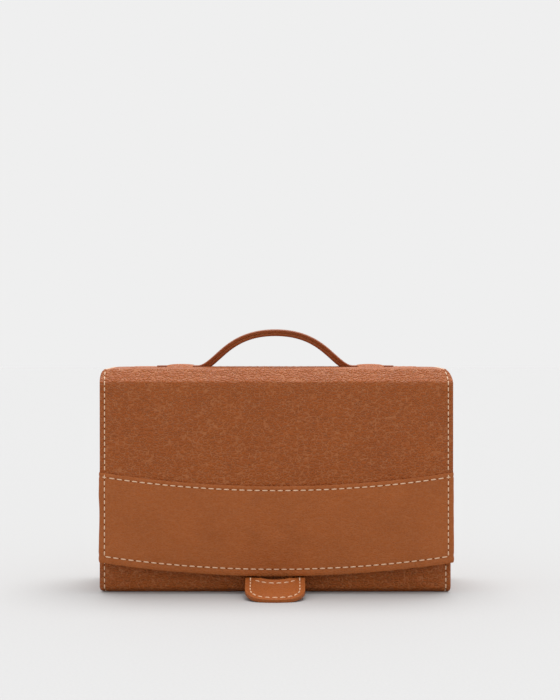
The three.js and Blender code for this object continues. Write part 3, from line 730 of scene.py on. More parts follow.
def bandRowsAt(s):
    x = alongPath(bandPath, s)[0].x
    low, high = sag(x, flapMiddle, flapSides, bandHalf), sag(x, bandTopMiddle, bandTopSides, bandHalf)
    spread = [0, 0.6, 1.2, 2, 2.8, 3.5, 4.2, 4.9, 5.7, 7] + [7 + 44.5 * k / 24 for k in range(1, 25)]
    spread += [52.7, 53.3, 53.9, 54.5, 55.1, 55.7]
    return [high - (high - low) * v / 55.7 for v in reversed(spread)]


bandColumns = pathRows(bandPath, 2.4, 0.5) + steps(5, 12, 0.7) + steps(bandLength - 12, bandLength - 5, 0.7)
bandColumns = sorted(set(bandColumns))
flapBand = makeSheet("flapBand", bandColumns, bandRowsAt, bandSkin, napaHide, band["leather"], flip=False,
                     rim=0.45)
finishPiece(flapBand, body="flap", stands=("flap_band",))


def bandAt(x):
    return bandLength / 2 + x


bandSeam = bandHalf - strip["seam"] - 0.7
bandLines = [[(bandAt(x), sag(x, flapMiddle, flapSides, bandHalf) + band["seamBottom"])
              for x in steps(-bandSeam, bandSeam, 8)],
             [(bandAt(x), sag(x, bandTopMiddle, bandTopSides, bandHalf) - band["seamTop"])
              for x in steps(-bandHalf + 1.2, bandHalf - 1.2, 8)]]
bandStitches = stitchRows("bandStitches", bandSkin, bandLines, 1)
finishPiece(bandStitches, body="flap")
bandEnd = sag(bandSeam, flapMiddle, flapSides, bandHalf) + band["seamBottom"]
bandSideStitches = stitchRows("bandSideStitches", bandSkin,
                              [[(bandAt(side * bandSeam), z) for z in steps(bandTopSides - 1, bandEnd, 4)]
                               for side in (-1, 1)], 1, close=True)
finishPiece(bandSideStitches, body="flap")
print("flap band: done")


# ---------- the hanging loop ----------
loop = {"ply": 1.1, "seam": 3.2, "lipSeam": 2.6, "lip": 1.5, "lipReach": 2.6, "slope": 14.2, "end": 33.0,
        "leg": 6.3, "dip": 5.4, "endFlat": 3.0}
anchorLow, anchorHigh = boxMm("loop_anchor")
loopHinge = hinges["loop_swing"] - Vector((0, 0, hang - 0.3))
loopHalf = anchorHigh.x
loopBehind = (anchorHigh.y + anchorHigh.y - 2 * loop["ply"]) / 2
slope = math.radians(loop["slope"])
loopTip = (loopHinge.y - loop["end"] * math.cos(slope), loopHinge.z - loop["end"] * math.sin(slope))
loopPath = roundedPath([(loopBehind, anchorHigh.z), (loopBehind, loopHinge.z), (loopHinge.y, loopHinge.z),
                        loopTip],
                       [3.0, 9.0])
loopTotal = sum(part[-1] for part in loopPath)
loopOut = loopTotal - loop["end"]  # where the loop leaves the flap's edge
holeTop = loopOut - 19


# The loop's outline laid flat, from the middle of its hidden end round to it again: x and distance along it.
def loopRim(share, inner):
    half = loopHalf - (loop["leg"] if inner else 0)
    top, low = (holeTop, loopOut + 0.4) if inner else (0.0, loopTotal)
    if inner:
        corner, points = 6.0, [(0, top)]
        points += [(half - corner + corner * math.sin(a), top + corner - corner * math.cos(a))
                   for a in steps(0, math.pi / 2, 0.2)]
        points += [(half, s) for s in steps(top + corner, low, 3)[1:]]
        points += [(half * (1 - t), low + 2 * loop["dip"] * 2 * t * (1 - t) / 2 + loop["dip"] * t * t * 1.0)
                   for t in steps(0, 1, 0.12)[1:]]
    else:
        bend = half - loop["endFlat"] / 2
        points = [(0, top), (half - 1.5, top), (half, top + 1.5)]
        points += [(half, s) for s in steps(top + 1.5, low - bend, 3)[1:]]
        for t in steps(0, 1, 0.1)[1:]:
            points.append((half - bend * t * t, low - bend * (1 - t) ** 2))
        points.append((0, low))
    side = 1 if share <= 0.5 else -1
    target = (share if share <= 0.5 else 1 - share) * 2
    lengths = [0.0]
    for p, q in zip(points, points[1:]):
        lengths.append(lengths[-1] + math.dist(p, q))
    target *= lengths[-1]
    k = next(i for i in range(1, len(lengths)) if lengths[i] >= target - 1e-9)
    part = (target - lengths[k - 1]) / max(lengths[k] - lengths[k - 1], 1e-9)
    x, s = (a + (b - a) * part for a, b in zip(points[k - 1], points[k]))
    return Vector((side * x, s))


def loopPlace(share, depth):
    return loopRim(share, True).lerp(loopRim(share, False), depth)


def loopFace(x, s, lift):
    point, way = alongPath(loopPath, s)
    out = Vector((way.y, -way.x))
    return x, point.x + out.x * lift, point.y + out.y * lift


def loopSkin(share, depth):
    place = loopPlace(share, depth)
    fromHole = (place - loopRim(share, True)).length
    fromEdge = (place - loopRim(share, False)).length
    front = ease((place.y - loopOut) / 3)
    lift = loop["ply"] + loop["lip"] * bell(fromHole, loop["lipReach"]) * front
    lift -= 0.22 * bell(fromEdge - loop["seam"], 0.7) * front
    lift -= 0.22 * bell(fromHole - loop["lipSeam"], 0.6) * front
    lift += 0.2 * waver(place.x, place.y, 12, 8) * front
    return loopFace(place.x, place.y, lift)


loopBend = ("flap", "hang_loop", (0, loopHinge.y + 2.6, loopHinge.z),
            (0, loopHinge.y - 2.6, loopHinge.z - 0.8))
loopShares = steps(0, 1, 1 / 110)
loopDepths = [0, 0.06, 0.13, 0.22, 0.32, 0.42, 0.52, 0.62, 0.7, 0.78, 0.85, 0.92, 0.97, 1]
loopPiece = makeSheet("hangingLoop", loopShares, lambda share: loopDepths, loopSkin, napaHideFlat,
                      2 * loop["ply"], flip=False, rim=0.55, joined=True)
finishPiece(loopPiece, across=loopBend,
            stands=("loop_upper_ply", "loop_lower_ply", "loop_anchor"))


def loopTop(x, s):
    # the upper face straight from flat places, for the stitches
    front = ease((s - loopOut) / 3)
    hole = loopOut + 0.4 + loop["dip"] * (1 - min(abs(x) / (loopHalf - loop["leg"]), 1) ** 2)
    lift = loop["ply"] + loop["lip"] * bell(max(s - hole, 0), loop["lipReach"]) * front - 0.12
    return loopFace(x, s, lift)


bendRadius = loopHalf - loop["endFlat"] / 2 - loop["seam"]
outerX = loopHalf - loop["seam"]
rightSide = [(outerX, s) for s in steps(loopOut + 0.6, loopTotal - loop["seam"] - bendRadius, 3)]
rightSide += [(outerX - bendRadius * t * t, loopTotal - loop["seam"] - bendRadius * (1 - t) ** 2)
              for t in steps(0, 1, 0.1)[1:]]
loopLine = [(-x, s) for x, s in rightSide] + [(x, s) for x, s in reversed(rightSide)]
lipHalf = loopHalf - loop["leg"] + 0.8
lipLine = [(x, loopOut + 0.9 + loop["lipSeam"] + (loop["dip"] - 0.2) * (1 - (x / lipHalf) ** 2))
           for x in steps(-lipHalf, lipHalf, 2)]
loopStitches = stitchRows("loopStitches", loopTop, [loopLine, lipLine], -1)
finishPiece(loopStitches, across=loopBend)
print("hanging loop: done")


# ---------- the handle ----------
handle = {"seam": 2.4, "plyTop": 1.7, "plyUnder": 2.1, "crown": 0.4, "endRound": 9.0, "keeperPly": 0.8,
          "keeperCrown": 0.55, "keeperSeam": 2.0, "basePly": 0.9, "baseSeam": 2.6, "baseCorner": 6.0,
          "sunk": 0.7}
strapLow, strapHigh = boxMm("handle_upper_strap")
tabLow, tabHigh = boxMm("handle_tab_right")
baseLow, baseHigh = boxMm("handle_base")
foot, handleTop = strapHigh.x, strapHigh.z - 1.6  # the handle sags a little under its own weight
baseTop = baseHigh.z - 0.5
seat = baseTop + handle["plyTop"] - handle["sunk"]
strapHalf = strapHigh.y
strapEnd = tabHigh.x


# The arch from foot to foot as two cubic curves that leave the lid level and pass the top level.
def archPoint(share, reach, low, high):
    t = share * 2 if share <= 0.5 else (1 - share) * 2
    side = -1 if share <= 0.5 else 1
    a, b, c = (1 - t) ** 3, 3 * t * (1 - t) ** 2, 3 * t * t * (1 - t)
    x = reach * (a + 0.77 * b + 0.66 * c)
    return Vector((side * x, low * (a + b) + high * (c + t ** 3)))


def strapPoint(s):
    # s runs from -1 at the left end, through 0 to 1 along the arch, to 2 at the right end
    if s < 0:
        return Vector((-foot + (strapEnd - foot) * s, seat))
    if s > 1:
        return Vector((foot + (strapEnd - foot) * (s - 1), seat))
    return archPoint(s, foot, seat, handleTop)


def strapSkin(across, s, lift=0.0):
    point = strapPoint(s)
    way = (strapPoint(s + 0.004) - strapPoint(s - 0.004)).normalized()
    out = Vector((-way.y, way.x))
    fromEnd = min(abs(s + 1), abs(2 - s)) * (strapEnd - foot)
    half = strapHalf
    if fromEnd < handle["endRound"]:
        half = math.sqrt(max(handle["endRound"] ** 2 - (handle["endRound"] - fromEnd) ** 2, 0.3))
    y = across * half
    arch = ease(min(s, 1 - s) * 8) if 0 < s < 1 else 0
    rise = lift + handle["crown"] * (1 - across ** 2) * arch - 0.25 * bell(half - abs(y), 0.7)
    rise -= 0.2 * bell(half - abs(y) - handle["seam"], 0.6)
    return point.x + out.x * rise, y, point.y + out.y * rise


strapShares = [-1 + k / 16 for k in range(16)] + [k / 80 for k in range(81)]
strapShares += [1 + k / 16 for k in range(1, 17)] + [-0.99, -0.97, 1.97, 1.99]
strapShares.sort()
strapAcross = [-1, -0.93, -0.86, -0.78, -0.7, -0.62, -0.5, -0.3, 0, 0.3, 0.5, 0.62, 0.7, 0.78, 0.86, 0.93, 1]
strapLeather = makeSheet("handleStrap", strapAcross, lambda across: strapShares, strapSkin, shadedHandleHide,
                         handle["plyTop"], flip=True, rim=0.45)
finishPiece(strapLeather, body="lid",
            stands=("handle_upper_strap", "handle_tab_left", "handle_tab_right"))
underShares = [0.012 + 0.976 * k / 70 for k in range(71)]
strapUnder = makeSheet("handleStrapLining", strapAcross, lambda across: underShares,
                       lambda across, s: strapSkin(across * 0.985, s, -handle["plyTop"] - 0.2), shadedHandleHide,
                       handle["plyUnder"], flip=True, rim=0.45)
finishPiece(strapUnder, body="lid", stands=("handle_lower_strap",))
strapSeam = 1 - handle["seam"] / strapHalf
strapLines = [[(side * strapSeam, s) for s in steps(-0.62, 1.62, 0.03)] for side in (-1, 1)]
strapStitches = stitchRows("handleStitches", strapSkin, strapLines, 1, strandThread=tanThread)
finishPiece(strapStitches, body="lid")


# A flat patch with rounded corners, held to the lid by a seam round its edge.
def patchHalf(x, half, corner, end):
    past = max(abs(x) - (end - corner), 0)
    return half - corner + math.sqrt(max(corner ** 2 - past ** 2, 0.01))


def baseSkin(x, across):
    half = patchHalf(x, baseHigh.y, handle["baseCorner"], baseHigh.x)
    y = across * half
    fromEdge = min(half - abs(y), baseHigh.x - abs(x))
    lift = 0.15 + 0.2 * waver(x, y, 22, 12) - 0.3 * bell(fromEdge, 0.7)
    return x, y, baseTop + lift - 0.22 * bell(fromEdge - handle["baseSeam"], 0.65)


baseAcross = [0.25, 0.5, 0.7, 0.8, 0.84, 0.88, 0.93, 0.97, 1]
baseAcross = [-value for value in reversed(baseAcross)] + [0] + baseAcross
handleBase = makeSheet("handleBase", columnsTo(baseHigh.x, 0.6, 3.0, 7), lambda x: baseAcross, baseSkin,
                       napaHideFlat, handle["basePly"], flip=False, rim=0.3)
finishPiece(handleBase, body="lid", stands=("handle_base",))
baseX, baseY = baseHigh.x - handle["baseSeam"], baseHigh.y - handle["baseSeam"]
baseCurve = baseX - 4


def baseFlat(x, y):
    return x, y, baseTop + 0.1


rimLine = [(x, -baseY) for x in steps(-baseCurve, baseCurve, 6)]
quarter = steps(0, math.pi / 2, 0.3)[1:]
rimLine += [(baseCurve + 4 * math.sin(a), -baseY + 4 - 4 * math.cos(a)) for a in quarter]
rimLine += [(baseX, y) for y in steps(-baseY + 4, baseY - 4, 4)[1:]]
rimLine += [(baseCurve + 4 * math.cos(a), baseY - 4 + 4 * math.sin(a)) for a in quarter]
rimLine += [(-x, -y) for x, y in rimLine] + [rimLine[0]]
baseStitches = stitchRows("handleBaseStitches", baseFlat, [rimLine], 1, lift=-0.3,
                          strandThread=tanThread)
finishPiece(baseStitches, body="lid")

keeperNodes = {"left": -1, "right": 1}
for sideName, side in keeperNodes.items():
    keeperLow, keeperHigh = boxMm("handle_keeper_" + sideName)
    middle, reach = (keeperLow.x + keeperHigh.x) / 2, (keeperHigh.x - keeperLow.x) / 2
    over = seat - baseTop

    def keeperSkin(x, y, middle=middle, reach=reach, half=keeperHigh.y, over=over):
        fromEdge = min(half - abs(y), reach - abs(x))
        bridge = ease((strapHalf + 2.2 - abs(y)) / 2.2)
        lift = -0.25 * bell(fromEdge, 0.6) - 0.2 * bell(half - abs(y) - handle["keeperSeam"], 0.6)
        lift -= handle["keeperCrown"] * (abs(x) / reach) ** 2.4
        return middle + x, y, baseTop + 0.6 + (over + 0.2) * bridge + lift

    keeper = makeSheet("handleKeeper" + sideName.title(), columnsTo(reach, 0.6, 1.6, 3),
                       lambda x, half=keeperHigh.y: columnsTo(half, 0.5, 1.2, 6), keeperSkin, napaHideFlat,
                       handle["keeperPly"], flip=False, rim=0.3)
    finishPiece(keeper, body="lid", stands=("handle_keeper_" + sideName,))
    lines = [[(x, end * (keeperHigh.y - handle["keeperSeam"])) for x in steps(-reach + 1.5, reach - 1.5, 3)]
             for end in (-1, 1)]
    keeperStitches = stitchRows("keeperStitches" + sideName.title(), keeperSkin, lines, 1,
                                strandThread=tanThread)
    finishPiece(keeperStitches, body="lid")
print("handle: done")


# ---------- the two side walls ----------
wall = {"roll": 2.2, "leather": 0.9, "seam": 3.6, "pillow": 0.5, "liningPly": 0.8}
sideLow, sideHigh = boxMm("side_leather_right")
sideLiningLow, sideLiningHigh = boxMm("side_lining_right")
sideTop, sideBottom = sideHigh.z, sideLow.z
sideBack = sideHigh.y
wallInside = sideLiningLow.x


def sideFront(z):
    return sideLow.y + 1.6 * (1 - ease((z - frontTop + 1) / 3))


def wallSkin(u, v, side):
    roll = wall["roll"]
    inner = Vector((min(max(u, sideFront(v) + roll), sideBack - roll),
                    min(max(v, sideBottom + roll), sideTop - roll)))
    past = Vector((u, v)) - inner
    distance = past.length
    if distance > 1e-6:
        turn = min(distance / roll, math.pi)
        way = past / distance
        flat = inner + way * roll * math.sin(turn)
        depth = roll * (1 - math.cos(turn))
    else:
        flat, depth = inner, 0
    fromEdge = min(u - sideFront(v), sideBack - u, v - sideBottom, sideTop - v) + 0.9
    lift = wall["pillow"] * (1 - math.exp(-max(fromEdge - wall["seam"], 0) / 7)) if fromEdge > 0 else 0
    lift += 0.35 * waver(u, v, 30, 20 + side) * ease(fromEdge / 6)
    lift -= 0.3 * bell(fromEdge - wall["seam"], 0.75)
    return side * (sideHigh.x - depth + min(lift, 1.0)), flat.x, flat.y


wallOver = math.pi * wall["roll"] - wall["roll"]  # how far the flat leather reaches past the wall's edge


def wallSteps(low, high):
    outside = steps(-wallOver, 0, 0.55)
    values = [low + v for v in outside] + [low + v for v in steps(0, 6, 0.6)[1:]]
    values += steps(low + 6, high - 6, 3.0)[1:-1]
    values += [high - v for v in reversed(steps(0, 6, 0.6))] + [high - v for v in reversed(outside)][1:]
    return values


wallRows = wallSteps(sideBottom, sideTop)
for sideName, side in keeperNodes.items():
    def skin(u, v, side=side):
        return wallSkin(u, v, side)

    leather = makeSheet("sideLeather" + sideName.title(), wallSteps(sideLow.y, sideBack), lambda u: wallRows,
                        skin, pebbledHideFlat, wall["leather"], flip=side < 0, rim=0)
    finishPiece(leather, body="case_body", stands=("side_leather_" + sideName,))
    inset = wall["seam"] - 0.9
    lines = [[(y, sideTop - inset) for y in steps(sideLow.y + inset + 0.5, sideBack - inset - 0.5, 4)],
             [(sideFront(z) + inset, z) for z in steps(sideBottom + inset, sideTop - inset, 4)],
             [(sideBack - inset, z) for z in steps(sideBottom + inset, sideTop - inset, 4)]]
    seam = stitchRows("sideStitches" + sideName.title(), skin, lines, side)
    finishPiece(seam, body="case_body")
print("side walls: done")


# ---------- boards, magnets and the bottom lining, which the leather and the suede close in ----------
def coverNode(node, material):
    frame["nodes"][node].data.materials.clear()
    frame["nodes"][node].data.materials.append(material)


for node in ("bottom_board", "front_board", "side_board_left", "side_board_right"):
    coverNode(node, greyboard)
for node in ("body_magnet", "flap_magnet"):
    coverNode(node, nickelPlate)
coverNode("bottom_lining", suede)


# A board cut a little smaller than its node, so that the lining can meet the leather round it.
def trimmedBoard(name, node, share, raised):
    board = roundedCopy(name, node, greyboard, 0.2, 1)
    for vertex in board.data.vertices:
        vertex.co.x *= share
        if vertex.co.z < 60 * mm:
            vertex.co.z += raised * mm
    return board


backBoard = roundedCopy("backBoard", "back_board", greyboard, 0.2, 1)
for vertex in backBoard.data.vertices:
    vertex.co.z = min(vertex.co.z, lidFold[2][2] * mm - 2 * mm)
finishPiece(backBoard, body="case_body", stands=("back_board",))
boardShare = 0.965  # how much of its node's width such a board keeps
for name, body, raised in (("lidBoard", "lid", 0), ("flapBoard", "flap", 5)):
    node = body + "_board"
    finishPiece(trimmedBoard(name, node, boardShare, raised), body=body, stands=(node,))

# ---------- suede linings ----------
lining = {"ply": 0.8, "dipFrom": 103.0, "dipWidth": 2.4, "lidDip": 2.1, "flapDip": 1.75, "edge": 107.5,
          "pillow": 0.25, "seam": 3.0, "corner": 3.0, "foldCorner": 1.4, "lap": 2.6}
liningFace, flapInside, lidInside = backLiningLow.y, flapLiningHigh.y, lidLiningLow.z
backPath = roundedPath([(liningFace, 5.4), (liningFace, lidInside), (0, lidInside)], [lining["corner"]])
foldPath = roundedPath([(lining["lap"], lidInside), (flapInside + 2.4, lidInside),
                        (flapInside, lidInside - 3), (flapInside, flapLow.z)],
                       [lining["foldCorner"], lining["foldCorner"]])
backCorner = backPath[0][-1] + backPath[1][-1]
backRows = closeRows(pathRows(backPath, 3.4, 0.7), backCorner - 16, backCorner + 10)
foldBegin = foldPath[0][-1]
foldEnd = sum(part[-1] for part in foldPath[:-1])
foldRows = closeRows(closeRows(pathRows(foldPath[:-1], 3.4, 0.5), 0, 5.6), foldBegin - 9, foldEnd - 0.3)
foldEndZ = alongPath(foldPath, foldEnd)[0].y
backHalf = backLiningHigh.x


def liningLift(x, s, seed):
    return 0.3 * waver(x, s, 36, seed) + 0.06 * waver(x, s, 5, seed + 1)


def backLiningSkin(x, s):
    point, way = alongPath(backPath, s)
    wide = ease((s - backCorner - 0.5) / 4)
    x *= 1 + (lining["edge"] / backHalf - 1) * wide
    dip = lining["lidDip"] * ease((abs(x) - lining["dipFrom"]) / lining["dipWidth"]) * wide
    lift = liningLift(x, s, 40) - dip
    x = drawnIn(x, strip["lidNarrow"] * wide)
    return x, point.x - way.y * lift, point.y + way.x * lift


def flapLiningSkin(x, s):
    point, way = alongPath(foldPath, s)
    bottom = point.y - sag(x, flapMiddle, flapSides, halfWidth) if s > foldEnd else 99
    depth = lining["lidDip"] + (lining["flapDip"] - lining["lidDip"]) * ease((s - foldEnd + 4) / 4)
    dip = depth * max(ease((abs(x) - lining["dipFrom"]) / lining["dipWidth"]), ease((5.4 - bottom) / 2.4))
    dip *= 1 - 0.85 * ease((s - foldBegin + 5) / 4) * ease((foldEnd + 4 - s) / 4)  # clear of the slanted edge
    lift = liningLift(x, s, 42) - dip
    lift += (lining["ply"] + 0.1) * (1 - ease((s - lining["lap"]) / 2.4)) - 0.2 * bell(s, 0.7)  # lapped over
    held = 1 - 0.8 / lining["edge"] * ease((s - foldBegin + 10) / 6) * ease((foldEnd + 9 - s) / 6)
    across = drawnIn(x, cornerRounding(point.x, point.y, lidInside)) * held
    across += strip["shift"] * ease((s - foldEnd) / 12)
    return across, point.x - way.y * lift, point.y + way.x * lift


backLiningPiece = makeSheet("backAndLidLining", columnsTo(backHalf, 0.6, 3.4, 7),
                            lambda x: backRows, backLiningSkin, suedeSheet, lining["ply"],
                            flip=False, rim=0.25)
finishPiece(backLiningPiece, across=lidLiningFold, stands=("back_lining",))


def flapLiningRows(x):
    end = foldEnd + foldEndZ - sag(x, flapMiddle, flapSides, halfWidth) - 0.4
    near = [0, 0.7, 1.4, 2.1, 2.8, 3.5, 4.2, 5, 6]
    rows = foldRows + [foldEnd + (end - 6 - foldEnd) * k / 34 for k in range(1, 35)]
    return rows + [end - 6 + v for v in near[1:]]


flapLiningPiece = makeSheet("lidAndFlapLining", columnsTo(lining["edge"], 0.6, 3.4, 7), flapLiningRows,
                            flapLiningSkin, suedeSheet, lining["ply"], flip=False, rim=0.25)
finishPiece(flapLiningPiece, across=flapLiningFold, stands=("flap_lining", "lid_lining"))
liningSeamX = halfWidth - lining["seam"]
insideLines = [[(side * liningSeamX, s) for s in steps(low, high, 4)] for side in (-1, 1)
               for low, high in ((0, foldBegin - 8), (foldEnd + 4, foldEnd + 102))]
insideLines.append([(x, foldEnd + foldEndZ - sag(x, flapMiddle, flapSides, halfWidth) - 3.4)
                    for x in steps(-liningSeamX, liningSeamX, 8)])
insideLines.append([(x, 1.2) for x in steps(-lining["dipFrom"] + 3, lining["dipFrom"] - 3, 8)])
insideStitches = stitchRows("flapLiningStitches", flapLiningSkin, insideLines, 1, lift=0.15)
finishPiece(insideStitches, across=flapLiningFold)
lidSeamX = liningSeamX * backHalf / lining["edge"]
lidLines = [[(side * lidSeamX, s) for s in steps(backCorner + 6, backCorner + 25, 4)] for side in (-1, 1)]
lidStitches = stitchRows("lidLiningStitches", backLiningSkin, lidLines, 1, lift=0.15)
finishPiece(lidStitches, across=lidLiningFold)


# A flat panel in X and Z standing off a wall, its corners rounded, its face swelling inside its border.
def panelSkin(low, high, face, facing, look):
    middle, half = (low + high) / 2, (high - low) / 2

    def skin(x, across):
        z = across * patchHalf(x, half.z, look["corner"], half.x)
        fromEdge = min(patchHalf(x, half.z, look["corner"], half.x) - abs(z), half.x - abs(x))
        lift = look["pillow"] * (1 - math.exp(-max(fromEdge - look["seam"], 0) / 5))
        lift += 0.25 * waver(x, z, 20, look["seed"]) - 0.22 * bell(fromEdge - look["seam"], 0.7)
        lift -= 0.25 * bell(fromEdge, 0.6)
        return middle.x + x, face + facing * lift, middle.z + z

    return skin, half


def panelAcross(half):
    return [value / half for value in columnsTo(half, 0.6, 2.6, 6)]


def panelBorder(half, seam, sides):
    inner = Vector((half.x - seam, 1 - seam / half.z))
    lines = {"left": [(-inner.x, a) for a in steps(-inner.y, inner.y, 0.1)],
             "right": [(inner.x, a) for a in steps(-inner.y, inner.y, 0.1)],
             "bottom": [(x, -inner.y) for x in steps(-inner.x, inner.x, 5)],
             "top": [(x, inner.y) for x in steps(-inner.x, inner.x, 5)]}
    return [lines[name] for name in sides]




def frontLiningSkin(x, z):
    return x, frontHigh.y + 0.1 * waver(x, z, 20, 3), z


frontLiningPiece = makeSheet("frontLining", steps(-frontHigh.x, frontHigh.x, 6),
                             lambda x: steps(5, frontTop - 5, 4), frontLiningSkin, suedeSheet, lining["ply"],
                             flip=True, rim=0.2)
finishPiece(frontLiningPiece, body="case_body", stands=("front_lining",))


def wallLiningSkin(t, z, side):
    front, back = sideFront(z) + wall["roll"] + 0.1, liningFace - 0.1
    y = front + t * (back - front)
    fromEdge = min(y - front, sideTop - wall["roll"] - z)
    lift = 0.25 * waver(y, z, 30, 50 + side) - 0.22 * bell(fromEdge - 2.4, 0.7) - 0.3 * bell(fromEdge, 0.7)
    return side * (wallInside - 0.15 - 0.35 * ease((fromEdge - 2.4) / 6) - lift), y, z


wallShares = [0, 0.01, 0.02, 0.03, 0.04, 0.05, 0.06, 0.08] + [0.08 + 0.92 * k / 20 for k in range(1, 21)]
wallHeights = steps(5.4, sideTop - wall["roll"] - 6, 3.4) + steps(sideTop - wall["roll"] - 6,
                                                                  sideTop - wall["roll"] - 0.1, 0.6)[1:]
for sideName, side in keeperNodes.items():
    def skin(t, z, side=side):
        return wallLiningSkin(t, z, side)

    piece = makeSheet("sideLining" + sideName.title(), wallShares, lambda t: wallHeights, skin, suede,
                      wall["liningPly"], flip=side > 0, rim=0.2)
    finishPiece(piece, body="case_body", stands=("side_lining_" + sideName,))
print("linings: done")


# ---------- padded rolls and bars ----------
# A stuffed roll along X: its ends are gathered in, with a seam and fine puckers near each one.
def makeRoll(name, low, high, look, material):
    middle, half = (low + high) / 2, (high - low) / 2
    turns = [2 * math.pi * k / look["sides"] for k in range(look["sides"] + 1)]
    cap = look["cap"]

    def skin(angle, x):
        inside = half.x - abs(x)
        crown = (1 - (1 - min(inside / cap, 1)) ** look["capPower"]) ** (1 / look["capPower"])
        power = 2 / look["power"]
        c, s = math.cos(angle), math.sin(angle)
        y = math.copysign(abs(c) ** power, c) * half.y
        z = math.copysign(abs(s) ** power, s) * half.z
        pucker = look["pucker"] * math.sin(angle * look["puckers"] + 2 * waver(angle, x, 3, 60)) * bell(
            inside - look["seam"], 2.6)
        groove = 0.35 * bell(inside - look["seam"], 0.7)
        swell = 0.25 * waver(x + middle.y, angle * 4, 9, look["seed"]) - groove + pucker
        shrink = max(crown + (swell - 0.25) / min(half.y, half.z), 0.0) if crown > 0 else 0.0
        return middle.x + x, middle.y + y * shrink, middle.z + z * shrink

    ends = [0, 0.12, 0.35, 0.7, 1.2, 1.8, 2.4, 3.0, 3.5, 4.0, 4.6, 5.4, 6.5, 8]
    places = [-half.x + v for v in ends] + steps(-half.x + 8, half.x - 8, look["coarse"])[1:-1]
    places += [half.x - v for v in reversed(ends)]
    roll = makeSheet(name, turns, lambda angle: places, skin, material, 0, flip=False, rim=0, joined=True)
    work = bmesh.new()
    work.from_mesh(roll.data)
    bmesh.ops.recalc_face_normals(work, faces=work.faces)
    work.to_mesh(roll.data)
    work.free()
    return roll


ringRollLook = {"sides": 40, "cap": 3.2, "capPower": 2.2, "power": 3.0, "pucker": 0.16, "puckers": 14,
                "seam": 3.0, "coarse": 2.4, "seed": 61}
for number in range(1, 6):
    node = "ring_roll_" + str(number)
    low, high = boxMm(node)
    roll = makeRoll("ringRoll" + str(number), low, high, dict(ringRollLook, seed=61 + number), suede)
    finishPiece(roll, body="case_body", stands=(node,))

barLook = dict(ringRollLook, power=2.0, cap=4.0, sides=44, puckers=18, pucker=0.2, seed=70)
barRoll = makeRoll("ringBarRoll", *boxMm("ring_bar_roll"), barLook, suede)
finishPiece(barRoll, body="ring_bar", stands=("ring_bar_roll",))
necklaceLook = dict(ringRollLook, power=4.5, cap=2.2, sides=48, puckers=16, pucker=0.1, seed=72)
necklaceBar = makeRoll("necklaceBar", *boxMm("necklace_bar"), necklaceLook, suede)
finishPiece(necklaceBar, body="case_body", stands=("necklace_bar",))

tray = roundedCopy("ringTray", "ring_tray", suede, 0.7)
finishPiece(tray, body="case_body", stands=("ring_tray",))
for node, name, radius in (("ring_bar_strap_left", "ringBarStrapLeft", 0.5),
                           ("ring_bar_strap_right", "ringBarStrapRight", 0.5)):
    strap = roundedCopy(name, node, napaHideFlat, radius)
    finishPiece(strap, body="ring_bar", stands=(node,))
for node, name, body in (("ring_bar_stud", "ringBarStud", "case_body"),
                         ("ring_bar_snap_post", "ringBarSnapPost", "case_body"),
                         ("ring_bar_snap_cap", "ringBarSnapCap", "ring_bar")):
    finishPiece(roundedCopy(name, node, goldPlate, 0.35), body=body, stands=(node,))
for number in range(1, 5):
    node = "necklace_hook_" + str(number)
    hook = roundedCopy("necklaceHook" + str(number), node, goldPlate, 0.15, 2, 60)
    smooth(hook, 75)
    finishPiece(hook, body="case_body", stands=(node,))
print("rolls, bars and tray: done")

# ---------- pocket and earring panel on the back wall ----------
pocket = {"gathers": 23, "gatherDepth": 0.8, "ply": 0.6}
pocketLow, pocketHigh = boxMm("pendant_pocket")
elasticLow, elasticHigh = boxMm("pocket_elastic")
pocketWide = pocketHigh.x - pocketLow.x


def gatherWave(share, strength):
    return strength * math.sin(2 * math.pi * pocket["gathers"] * share + 1.8 * waver(share * 40, 0, 6, 80))


def pocketDepth(share):
    return ease(min(share, 1 - share) * 9)


def pocketSkin(share, up):
    up = min(max(up, 0), 1)
    z = pocketLow.z + up * (elasticLow.z + 0.6 - pocketLow.z)
    belly = math.sin(math.pi * min(up * 0.62 + 0.05, 1)) ** 0.7
    depth = (0.6 + (pocketHigh.y - pocketLow.y - 1.6) * belly) * pocketDepth(share)
    wave = gatherWave(share, pocket["gatherDepth"] * (0.12 + 0.88 * up ** 1.5)) * pocketDepth(share)
    depth += wave + 0.5 * waver(share * pocketWide, z, 16, 81) * belly * pocketDepth(share)
    depth -= 0.3 * bell((up - 0.045) * 36, 0.7)
    return pocketLow.x + share * pocketWide, pocketHigh.y - 0.3 - max(depth, 0.7), z


pocketShares = steps(0, 1, 1 / 230)
pocketUps = [0, 0.015, 0.03, 0.045, 0.06, 0.08, 0.1] + steps(0.13, 1, 0.04)
pocketPiece = makeSheet("pendantPocket", pocketShares, lambda share: pocketUps, pocketSkin, suedeSheet,
                        pocket["ply"], flip=False, rim=0)
finishPiece(pocketPiece, body="case_body", stands=("pendant_pocket",))


# How long a line over a piece is, following its folds.
def lengthAlong(points):
    return sum((Vector(b) - Vector(a)).length for a, b in zip(points, points[1:])) * mm


# The area of a piece's middle surface, in square metres, from its skin.
def skinArea(skin, columns, rows):
    area = 0
    for a, b in zip(columns, columns[1:]):
        for c, d in zip(rows, rows[1:]):
            corner = Vector(skin(a, c))
            area += (Vector(skin(b, c)) - corner).cross(Vector(skin(a, d)) - corner).length
    return area * mm * mm


pocketLong = max(lengthAlong([pocketSkin(share, up) for share in pocketShares]) for up in pocketUps)
pocketTall = max(lengthAlong([pocketSkin(share, up) for up in pocketUps]) for share in pocketShares[::10])
pocketArea = skinArea(pocketSkin, pocketShares, pocketUps)
print("pocket cloth, flat, metres:", round(pocketLong, 4), round(pocketTall, 4), "area", round(pocketArea, 5))


